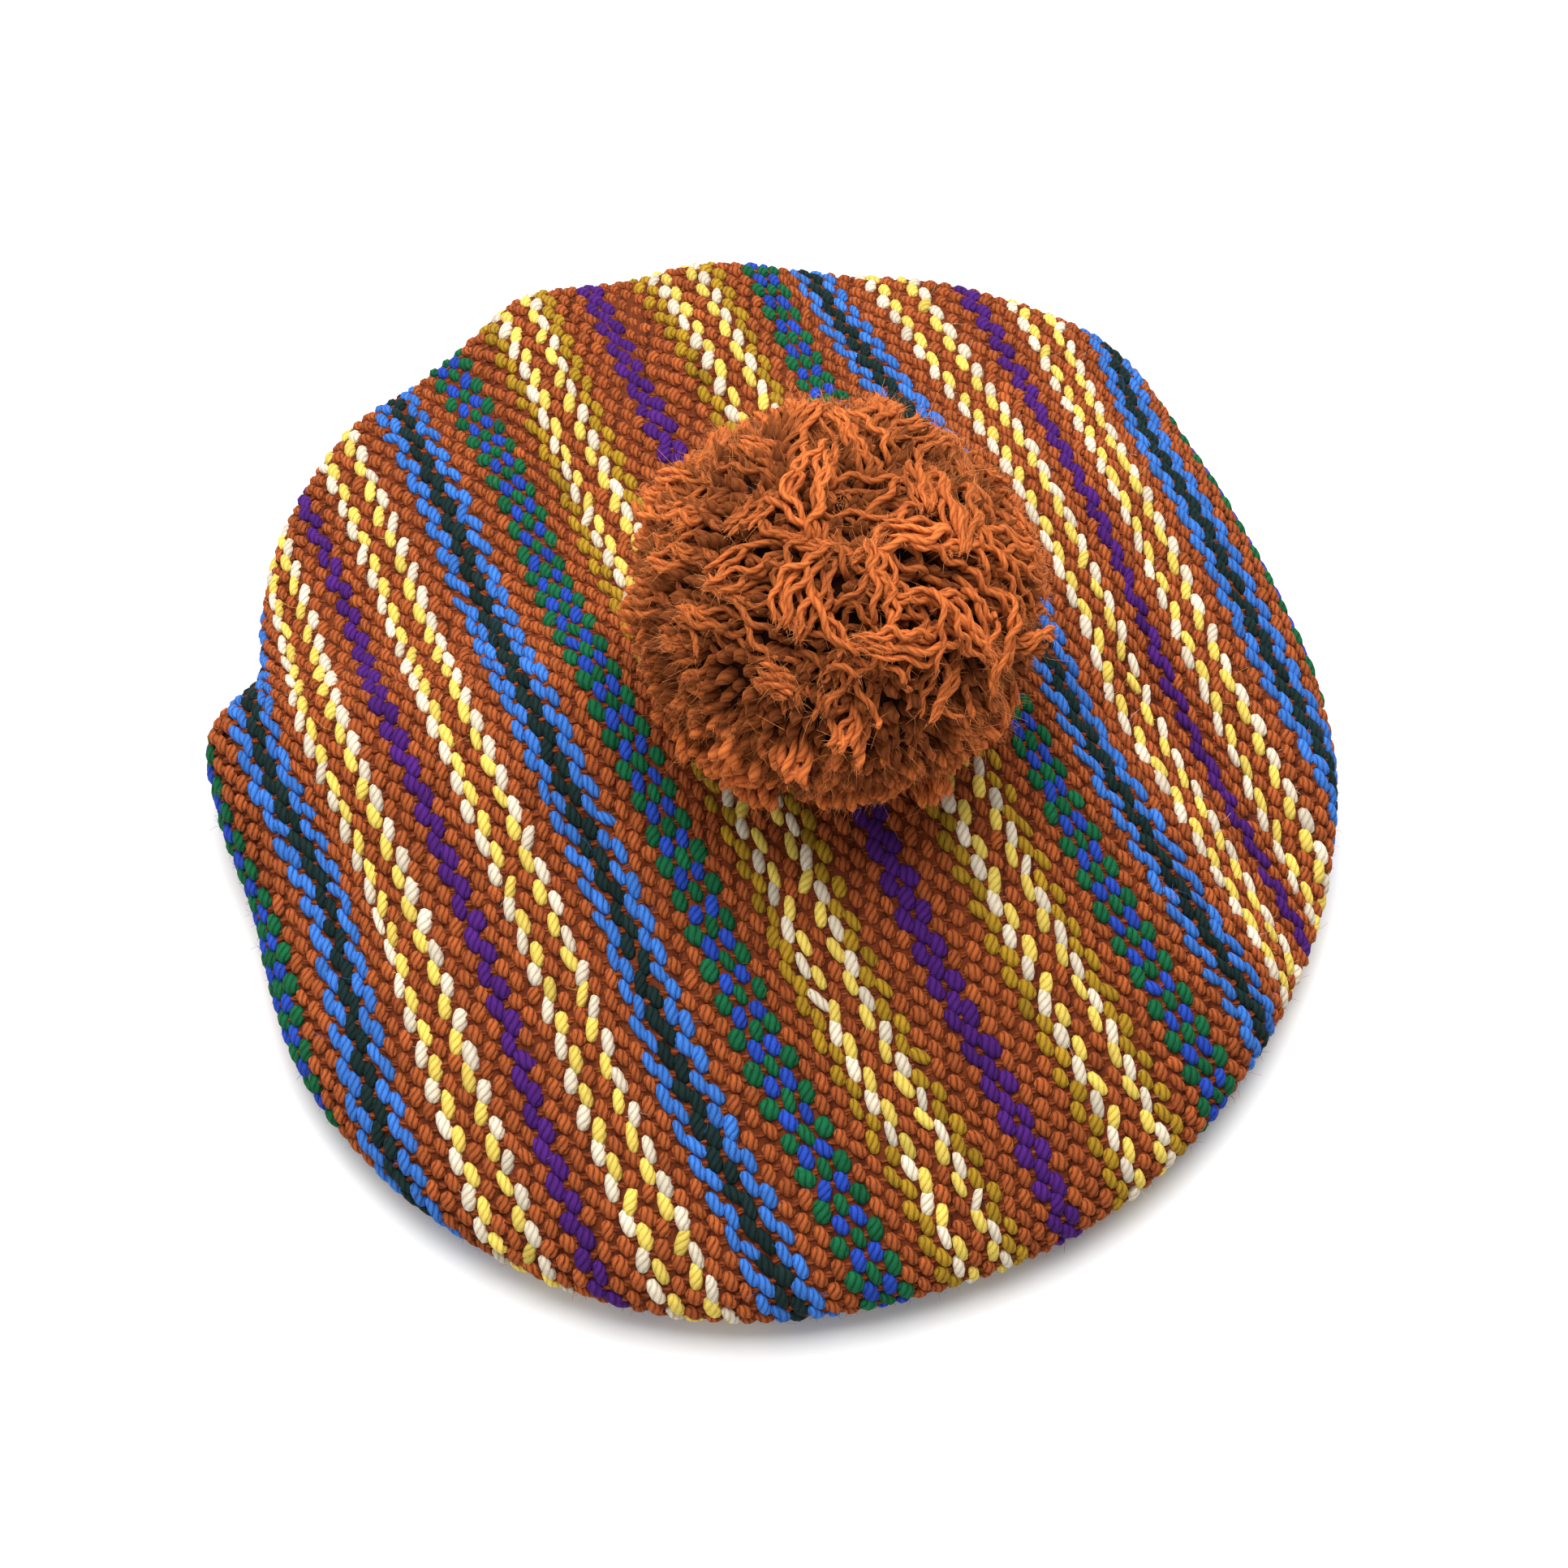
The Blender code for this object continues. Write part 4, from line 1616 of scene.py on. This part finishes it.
@dataclass(frozen=True)
class StrandForm:
    """How the pompom's strands lie and curl, and how much they differ.

    Lengths are in millimetres and turns in radians, and each spread is a standard deviation.
    A ramp gives its start and its length, as shares of the strand, of the ball's radius
    towards the front or downwards, or of the nearness to the parting. lock_roundness is how
    far a lock falls off one millimetre from its middle. painted_depth_shade is painted shade: the
    tone lost in a millimetre of depth, so that deeper strands are darker in colour, between
    lightest at the top and darkest. A strand's lying is 0 where it stands up with its cut end
    out, and 1 where it lies flat. Most lie flat near the parting and on the right, and fewest
    on the cut face in front.
    """

    place_spread: float = 0.02
    parting: tuple = (0.10, -0.27, 0.98)
    parting_reach: float = 0.25
    lying_base: float = 0.36
    lying_near: float = 0.6
    lying_right: float = 0.35
    lying_front: float = 0.4
    lying_least: float = 0.08
    front_ramp: tuple = (0.3, 0.5)
    low_ramp: tuple = (-0.8, 0.5)
    lock_turn_spread: float = 0.75
    strand_turn_spread: float = 0.2
    any_way_ramp: tuple = (0.45, 0.35)
    back_base: float = 0.04
    back_lying: float = 0.13
    lock_lift_spread: float = 1.9
    lock_roundness: float = 0.045
    phase_spread: float = 0.3
    crimp: float = 0.66
    crimp_spread: float = 0.25
    crimp_ramp: tuple = (0.0, 0.3)
    crimp_length: float = 8.8
    crimp_length_spread: float = 0.05
    ripple: float = 0.28
    ripple_rate: float = 0.8
    curl_spread: float = 0.5
    ringlet_share: float = 0.06
    ringlet_curl: float = 3.2
    ringlet_nearness: float = 0.5
    root_tilt: float = 1.45
    root_ramp: tuple = (0.0, 0.24)
    tip_tilt: float = 0.12
    tip_tilt_standing: float = 1.05
    tip_tilt_spread: float = 0.1
    length: float = 16.0
    length_lying: float = 9.0
    length_spread: float = 1.2
    depth_spread: float = 1.8
    clump_standing: float = 0.3
    clump_lying: float = 0.7
    clump_ramp: tuple = (0.35, 0.65)
    swell: float = 0.8
    swell_ramp: tuple = (0.6, 0.3)
    taper: float = 0.5
    taper_ramp: tuple = (0.55, 0.45)
    tip_round: float = 0.07
    tip_least: float = 0.08
    radius_spread: float = 0.07
    # Painted shade: strands are coloured darker the deeper they lie, lighter at the top.
    painted_depth_shade: float = 0.125
    lightest: float = 1.16
    darkest: float = 0.16
    lock_tone_spread: float = 0.06
    tone_spread: float = 0.1

    def nearness(self, directions: np.ndarray) -> np.ndarray:
        """Closeness to the parting.

        Args:
            directions: Unit vectors along the last axis.

        Returns:
            1 on the parting, down to 0.
        """
        reach = self.parting_reach
        off = directions @ unit(np.array(self.parting)) - reach
        return np.clip(off / (1.0 - reach), 0.0, 1.0)

    def lying(self, directions: np.ndarray) -> np.ndarray:
        """Share in which strands lie flat.

        Args:
            directions: Unit vectors along the last axis.

        Returns:
            One share for each direction.
        """
        rightward = np.clip(directions[:, 0], 0.0, 1.0)
        cut_face = ramp(-directions[:, 1], self.front_ramp) * ramp(-directions[:, 2], self.low_ramp)
        lying = self.lying_base + self.lying_near * self.nearness(directions)
        lying = lying + self.lying_right * rightward - self.lying_front * cut_face
        return np.clip(lying, self.lying_least, 1.0)


@dataclass
class Strands:
    """Numbers that shape the pompom's strands, with one row for each strand."""

    root: np.ndarray
    heading: np.ndarray
    length: np.ndarray
    level: np.ndarray
    tilt: np.ndarray
    wave: np.ndarray
    phase: np.ndarray
    crimp: np.ndarray
    curl: np.ndarray


@dataclass
class Pompom:
    """Pompom of cut three-ply yarn: core, short ends on it, strands in locks, loose fibres."""

    surface: CrownSurface
    wardrobe: Wardrobe
    form: StrandForm = StrandForm()
    slot: str = "pompom_yarn"
    seed: int = 47
    radius: float = 48.0 * MM
    flatten: float = 0.90
    lean: tuple = (1.0 * MM, -1.5 * MM)
    foot_radius: float = 16.0 * MM
    foot_rise: float = 1.4 * MM
    seat_radius: float = 42.4 * MM
    seam_gap: float = 0.3 * MM
    core_share: float = 0.84
    # Painted shade: the core is coloured nearly black-brown, deep under the strands.
    core_painted_shade: float = 0.14
    stubs: int = 1400
    stub_fineness: tuple = (5, 3)
    stub_height: float = 5.4 * MM
    stub_radius: float = 1.7 * MM
    # Painted shade: the short ends are coloured dark, deep between the strands.
    stub_painted_shade: float = 0.32
    stub_shift: float = 0.03
    stub_height_spread: float = 0.2
    stub_radius_spread: float = 0.12
    stub_tone_spread: float = 0.15
    locks: int = 200
    clump: float = 0.70
    strands: int = 1780
    strands_lowest: float = -0.74
    strand_radius: float = 0.79 * MM
    steps: int = 15
    sides: int = 5
    fillers: int = 300
    probes: int = 2800
    probes_lowest: float = -0.3
    probed_depth: float = 7.0 * MM
    probe_batches: int = 16
    fuzz_count: int = 30000
    fuzz_scale: float = 0.42 * MM
    hair_count: int = 1600
    hair_scale: float = 0.8 * MM
    fibre_place: tuple = (1.6, 0.8)
    fibre_root: float = 0.7
    fibre_outward: float = 0.5
    fibre_aside: float = 0.8
    fibre_onward: float = 0.7
    fibre_way_spread: float = 0.3
    # Painted highlight: the pompom's loose fibres are coloured lighter than its strands.
    fibre_painted_highlight: tuple = linear(220, 140, 84)
    fibre_light_spread: float = 0.2

    @property
    def centre(self) -> np.ndarray:
        """Middle of the pompom, over the flat foot on which its solid sits.

        Returns:
            The point.
        """
        drop = math.sqrt(self.seat_radius**2 - self.foot_radius**2) * self.flatten
        top = self.surface.top
        return np.array(
            (
                top[0] + self.lean[0] - self.surface.middle[0],
                top[1] + self.lean[1] - self.surface.middle[1],
                top[2] + self.seam_gap + drop,
            )
        )

    @staticmethod
    def spread(count: int, lowest: float) -> np.ndarray:
        """Directions spread evenly over a ball.

        Args:
            count: How many there are.
            lowest: Height of the lowest, on a ball of radius 1.

        Returns:
            One unit vector for each.
        """
        index = np.arange(count)
        height = 1.0 - (index + 0.5) * (1.0 - lowest) / count
        ring = np.sqrt(1.0 - height**2)
        angle = index * GOLDEN_ANGLE
        return np.stack((ring * np.cos(angle), ring * np.sin(angle), height), -1)

    def build(self) -> list:
        """Make the core, the short ends, the strands and the fibres.

        Returns:
            The pieces.
        """
        rng = np.random.default_rng(self.seed)
        strands = self.lay_strands(self.spread(self.strands, self.strands_lowest), 1.0, rng)
        fillers = self.lay_strands(self.bare_places(strands[0]), 0.0, rng)
        paths, radii, tone, reference = (np.concatenate(pair) for pair in zip(strands, fillers))
        template = Template.tube(self.sides, self.steps)
        finish = material_of(POMPOM_WOOL)
        pieces = [self.build_core(), self.build_stubs(rng)]
        half = self.strands // 2
        ring = np.rint(template.points[:, 2] * self.steps).astype(int)
        tone = tone[:, ring]
        for name, chosen in (("upper", slice(0, half)), ("lower", slice(half, None))):
            places, yarn = lay_tubes(paths[chosen], radii[chosen], reference[chosen], template)
            item = self.wardrobe.copies(f"pompom_yarn_{name}", template, places, yarn, tone[chosen])
            pieces.append(self.wardrobe.dress(item, finish, self.slot))
        pieces.append(self.build_fibres("pompom_fuzz", paths, rng))
        pieces.append(self.build_fibres("pompom_hairs", paths, rng, is_hair=True))
        return pieces

    def build_core(self) -> bpy.types.Object:
        """Ball under the strands, dark with painted shade, in place of the pompom's plain solid.

        Returns:
            The piece.
        """
        mesh = bmesh.new()
        bmesh.ops.create_icosphere(mesh, subdivisions=4, radius=self.radius * self.core_share)
        bmesh.ops.scale(mesh, verts=mesh.verts, vec=(1.0, 1.0, self.flatten))
        bmesh.ops.translate(mesh, verts=mesh.verts, vec=self.centre)
        places = np.array([vert.co for vert in mesh.verts])
        item = self.wardrobe.piece("pompom_core", mesh, places, self.core_painted_shade)
        item.data.shade_smooth()
        return self.wardrobe.dress(item, material_of(PAINTED_SHADE_WOOL), self.slot, "pompom")

    def build_stubs(self, rng: np.random.Generator) -> bpy.types.Object:
        """Short yarn ends on the core, deep between the strands, dark with painted shade.

        Args:
            rng: Source of the unevenness.

        Returns:
            The piece.
        """
        up = self.spread(self.stubs, self.strands_lowest)
        up = unit(up + rng.normal(0.0, self.stub_shift, up.shape))
        first = unit(np.cross(up, rng.normal(size=up.shape)))
        second = np.cross(up, first)
        template = Template.bead(*self.stub_fineness)
        reach, across, over = template.points.T
        height = self.stub_height * rng.normal(1.0, self.stub_height_spread, (self.stubs, 1))
        wide = self.stub_radius * rng.normal(1.0, self.stub_radius_spread, (self.stubs, 1))
        out = self.radius * self.core_share + reach[None, :] * height
        places = (
            up[:, None] * out[..., None]
            + first[:, None] * (across[None, :] * wide)[..., None]
            + second[:, None] * (over[None, :] * wide)[..., None]
        )
        places = places * np.array((1.0, 1.0, self.flatten)) + self.centre
        yarn = np.stack(np.broadcast_arrays(reach[None, :] * height, across[None, :], over[None, :]), -1)
        tone = self.stub_painted_shade * rng.normal(1.0, self.stub_tone_spread, self.stubs)
        item = self.wardrobe.copies("pompom_stubs", template, places, yarn, tone)
        return self.wardrobe.dress(item, material_of(POMPOM_WOOL), self.slot)

    def bare_places(self, paths: np.ndarray) -> np.ndarray:
        """Directions in which the strands leave the core barest.

        Args:
            paths: Paths of the strands.

        Returns:
            One direction for each filler.
        """
        off = ((paths[:, self.steps // 3 :] - self.centre) / (1.0, 1.0, self.flatten)).reshape(-1, 3)
        level = np.linalg.norm(off, axis=1)
        outer = off[level > self.radius - self.probed_depth]
        outer = unit(outer).astype(np.float32)
        probes = self.spread(self.probes, self.probes_lowest)
        parts = np.array_split(probes.astype(np.float32), self.probe_batches)
        closeness = np.concatenate([(part @ outer.T).max(axis=1) for part in parts])
        return probes[np.argsort(closeness, kind="stable")[: self.fillers]]

    def start_strands(
        self, middle: np.ndarray, locks: np.ndarray, lock: np.ndarray, walk: float,
        rng: np.random.Generator,
    ) -> tuple:
        """Root of each strand and the way it sets out, most of them away from the parting.

        Args:
            middle: Directions of the places that the strands cover.
            locks: Directions of the locks.
            lock: Lock of each strand.
            walk: Share of the usual way that a strand starts back from its place.
            rng: Source of the unevenness.

        Returns:
            Unit vectors towards the roots, and the headings there.
        """
        form = self.form
        any_way = ramp(form.nearness(locks), form.any_way_ramp)
        lock_turn = rng.normal(0.0, form.lock_turn_spread, self.locks)
        lock_turn += rng.uniform(-math.pi, math.pi, self.locks) * any_way
        turn = lock_turn[lock] + rng.normal(0.0, form.strand_turn_spread, len(middle))
        parting = unit(np.array(form.parting))
        away = unit(middle - (middle @ parting)[:, None] * parting)
        away = unit(away - (away * middle).sum(-1, keepdims=True) * middle)
        aside = np.cross(middle, away)
        heading = away * np.cos(turn)[:, None] + aside * np.sin(turn)[:, None]
        back = walk * (form.back_base + form.back_lying * form.lying(middle))[:, None]
        root = middle * np.cos(back) - heading * np.sin(back)
        return root, heading * np.cos(back) + middle * np.sin(back)

    def lay_strands(self, places: np.ndarray, walk: float, rng: np.random.Generator) -> tuple:
        """Lay strands over places on the pompom, lock by lock.

        Args:
            places: Directions of the places that the strands cover.
            walk: Share of the usual way that a strand starts back from its place.
            rng: Source of the unevenness.

        Returns:
            Paths, radii, tones and a reference direction for each strand.
        """
        form = self.form
        count = len(places)
        middle = unit(places + rng.normal(0.0, form.place_spread, (count, 3)))
        locks = self.spread(self.locks, self.strands_lowest)
        lock = np.argmax(middle @ locks.T, axis=1)
        lying = form.lying(middle)
        root, heading = self.start_strands(middle, locks, lock, walk, rng)
        lock_phase = rng.uniform(0.0, FULL_TURN, self.locks)
        lock_lift = rng.normal(0.0, form.lock_lift_spread * MM, self.locks)
        phase = lock_phase[lock] + rng.normal(0.0, form.phase_spread, count)
        wave = FULL_TURN / (form.crimp_length * MM * rng.normal(1.0, form.crimp_length_spread, count))
        crimp = form.crimp * rng.normal(1.0, form.crimp_spread, count)
        curl = rng.normal(0.0, form.curl_spread, count)
        is_ringlet = rng.random(count) < form.ringlet_share
        is_ringlet = is_ringlet & (form.nearness(middle) > form.ringlet_nearness)
        tip_tilt = form.tip_tilt + (1.0 - lying) * form.tip_tilt_standing
        tip_tilt = tip_tilt + rng.normal(0.0, form.tip_tilt_spread, count)
        length = form.length + form.length_lying * lying + rng.normal(0.0, form.length_spread, count)
        length = length * MM
        share = np.linspace(0.0, 1.0, self.steps + 1)
        at_root = (1.0 - ramp(share, form.root_ramp))[None, :]
        tilt = tip_tilt[:, None] + (form.root_tilt - tip_tilt)[:, None] * at_root
        run = wave[:, None] * form.ripple_rate * share * length[:, None]
        tilt = tilt + form.ripple * np.sin(run + 2.0 * phase[:, None])
        rise = np.sin(tilt) * (length / self.steps)[:, None]
        level = np.cumsum(rise, axis=1) - rise[:, :1]
        from_lock = np.arccos(np.clip((middle * locks[lock]).sum(-1), -1.0, 1.0)) * self.radius
        crest = self.radius + lock_lift[lock] - form.lock_roundness * from_lock**2 / MM
        crest = crest - np.abs(rng.normal(0.0, form.depth_spread * MM, count))
        level = level - level[:, -1:] + crest[:, None]
        curl = curl + is_ringlet * form.ringlet_curl
        strands = Strands(root, heading, length, level, tilt, wave, phase, crimp, curl)
        paths, heading = self.walk_out(strands, share)
        pull = self.clump * (form.clump_standing + form.clump_lying * lying)
        paths = self.gather(paths, lock, share, pull)
        paths = paths * np.array((1.0, 1.0, self.flatten)) + self.centre
        paths[..., 2] = np.maximum(paths[..., 2], self.surface.top[2] + self.foot_rise)
        swell = 1.0 + (form.swell * (1.0 - lying))[:, None] * ramp(share, form.swell_ramp)[None, :]
        taper = 1.0 - (form.taper * lying)[:, None] * ramp(share, form.taper_ramp)[None, :]
        close = np.sqrt(np.clip((1.0 - share) / form.tip_round, form.tip_least, 1.0))
        thick = rng.normal(1.0, form.radius_spread, count)[:, None]
        radii = self.strand_radius * (swell * taper) * close * thick
        lock_tone = rng.normal(1.0, form.lock_tone_spread, self.locks)
        # Painted shade: the tone falls with each millimetre of depth under the ball's surface.
        depth = np.maximum(self.radius - level, 0.0) / MM
        tone = np.clip(form.lightest - form.painted_depth_shade * depth, form.darkest, form.lightest)
        tone = tone * (lock_tone[lock] * rng.normal(1.0, form.tone_spread, count))[:, None]
        return paths, radii, tone, unit(np.cross(root, heading))

    def walk_out(self, strands: Strands, share: np.ndarray) -> tuple:
        """Walk along each strand from its root, with its crimp and its curl.

        Args:
            strands: Numbers that shape the strands.
            share: Share of the way along a strand at each of its points.

        Returns:
            Paths on a round ball round the origin, and the headings at their ends.
        """
        step = strands.length / self.steps
        heading = strands.heading
        point = strands.root * strands.level[:, :1]
        paths = [point]
        for number in range(1, self.steps + 1):
            up = unit(point)
            heading = unit(heading - (heading * up).sum(-1, keepdims=True) * up)
            side = np.cross(up, heading)
            run = share[number] * strands.length
            swing = strands.crimp * np.sin(strands.wave * run + strands.phase)
            swing = swing * ramp(share[number], self.form.crimp_ramp)
            swing = swing + strands.curl * share[number] ** 2
            way = heading * np.cos(swing)[:, None] + side * np.sin(swing)[:, None]
            point = point + way * (np.cos(strands.tilt[:, number]) * step)[:, None]
            point = unit(point) * strands.level[:, number : number + 1]
            paths.append(point)
        return np.stack(paths, 1), heading

    def gather(
        self, paths: np.ndarray, lock: np.ndarray, share: np.ndarray, pull: np.ndarray
    ) -> np.ndarray:
        """Strands drawn together towards the middle line of their lock, most at the tips.

        Args:
            paths: Paths of the strands.
            lock: Lock of each strand.
            share: Share of the way along a strand at each of its points.
            pull: Share of the way that each strand's tip is drawn.

        Returns:
            The paths, drawn together.
        """
        middle_line = np.zeros((self.locks, *paths.shape[1:]))
        np.add.at(middle_line, lock, paths)
        members = np.maximum(np.bincount(lock, minlength=self.locks), 1)
        middle_line /= members[:, None, None]
        drawn = pull[:, None] * ramp(share, self.form.clump_ramp)[None, :]
        return paths + (middle_line[lock] - paths) * drawn[..., None]

    def build_fibres(
        self, name: str, paths: np.ndarray, rng: np.random.Generator, is_hair: bool = False
    ) -> bpy.types.Object:
        """Loose fibres on the strands, most of them near their cut ends.

        Args:
            name: Piece name.
            paths: Paths of the strands.
            rng: Source of the places.
            is_hair: Whether the fibres are longer and bent.

        Returns:
            The piece.
        """
        count = self.hair_count if is_hair else self.fuzz_count
        strand = rng.integers(0, len(paths), count)
        run = rng.beta(*self.fibre_place, count) * (self.steps - 0.01)
        place = run.astype(int)
        share = (run - place)[:, None]
        before, after = paths[strand, place], paths[strand, place + 1]
        tangent = unit(after - before)
        outward = unit(before - self.centre)
        aside = rng.normal(size=before.shape)
        aside = aside - (aside * tangent).sum(-1, keepdims=True) * tangent
        aside = unit(aside + outward * self.fibre_outward)
        roots = before * (1.0 - share) + after * share + aside * self.fibre_root * self.strand_radius
        ways = aside * self.fibre_aside + tangent * self.fibre_onward
        ways = unit(ways + rng.normal(0.0, self.fibre_way_spread, before.shape))
        lengths = rng.gamma(FIBRE_SHAPE, self.hair_scale if is_hair else self.fuzz_scale, count)
        # Painted highlight: the fibres are coloured lighter than the strands.
        dye = np.array(self.fibre_painted_highlight[:3]) * rng.normal(1.0, self.fibre_light_spread, (count, 1))
        fibres = Fibres(self.wardrobe, self.slot)
        return fibres.build(name, roots, ways, lengths, dye, rng, is_hair)


@dataclass(frozen=True)
class Lamp:
    """Soft square light that looks at the hat: its place, its side and its power in watts."""

    name: str
    place: tuple
    side: float
    power: float


@dataclass
class Stage:
    """Pale floor, soft lights and the camera."""

    look_at: tuple = (2.6 * MM, -13.0 * MM, 20.0 * MM)
    distance: float = 0.6
    elevation: float = math.radians(66.0)
    lens: float = 55.0
    floor_side: float = 8.0
    floor_shade: float = 0.9
    floor_roughness: float = 0.9
    sky_strength: float = 0.35
    lamps: tuple = (
        Lamp("key_light", (0.0, 0.5, 1.37), 1.2, 34.0),
        Lamp("front_light", (-0.9, -0.5, 1.1), 1.4, 5.0),
    )

    def build(self) -> None:
        """Make the floor, the camera, the lamps and the pale sky."""
        self.build_floor()
        self.build_camera()
        for lamp in self.lamps:
            self.build_lamp(lamp)
        world = bpy.data.worlds.new("studio")
        world.use_nodes = True
        sky = world.node_tree.nodes["Background"]
        sky.inputs["Color"].default_value = (1.0, 1.0, 1.0, 1.0)
        sky.inputs["Strength"].default_value = self.sky_strength
        bpy.context.scene.world = world
        bpy.context.scene.view_settings.view_transform = "Standard"

    def build_floor(self) -> None:
        """Plain pale floor under the hat."""
        mesh = bmesh.new()
        bmesh.ops.create_grid(mesh, x_segments=8, y_segments=8, size=self.floor_side / 2.0)
        data = bpy.data.meshes.new("floor")
        mesh.to_mesh(data)
        mesh.free()
        material = bpy.data.materials.new("pale_floor")
        material.use_nodes = True
        shader = material.node_tree.nodes["Principled BSDF"]
        shade = self.floor_shade
        shader.inputs["Base Color"].default_value = (shade, shade, shade, 1.0)
        shader.inputs["Roughness"].default_value = self.floor_roughness
        data.materials.append(material)
        Wardrobe.link("floor", data)

    def build_lamp(self, lamp: Lamp) -> None:
        """Hang a lamp.

        Args:
            lamp: The lamp.
        """
        data = bpy.data.lights.new(lamp.name, "AREA")
        data.size = lamp.side
        data.energy = lamp.power
        light = bpy.data.objects.new(lamp.name, data)
        light.location = lamp.place
        light.rotation_euler = (-Vector(lamp.place)).to_track_quat("-Z", "Y").to_euler()
        bpy.context.scene.collection.objects.link(light)

    def build_camera(self) -> None:
        """Camera in front of the hat and above it."""
        data = bpy.data.cameras.new("camera")
        data.lens = self.lens
        camera = bpy.data.objects.new("camera", data)
        back = Vector((0.0, -math.cos(self.elevation), math.sin(self.elevation)))
        camera.location = Vector(self.look_at) + back * self.distance
        camera.rotation_euler = (QUARTER_TURN - self.elevation, 0.0, 0.0)
        bpy.context.scene.collection.objects.link(camera)
        bpy.context.scene.camera = camera


def main() -> None:
    """Build the hat's pieces in order and report each one."""
    wardrobe = Wardrobe()
    surface = CrownSurface()
    under = UnderSurface(surface)
    Stage().build()
    parts = (
        WovenCrown(surface, wardrobe),
        WovenUnder(under, wardrobe),
        Headband(under.centre, wardrobe),
        Pompom(surface, wardrobe),
    )
    for part in parts:
        for piece in part.build():
            LOG.info("%s: %d faces", piece.name, len(piece.data.polygons))


if __name__ == "__main__":
    main()
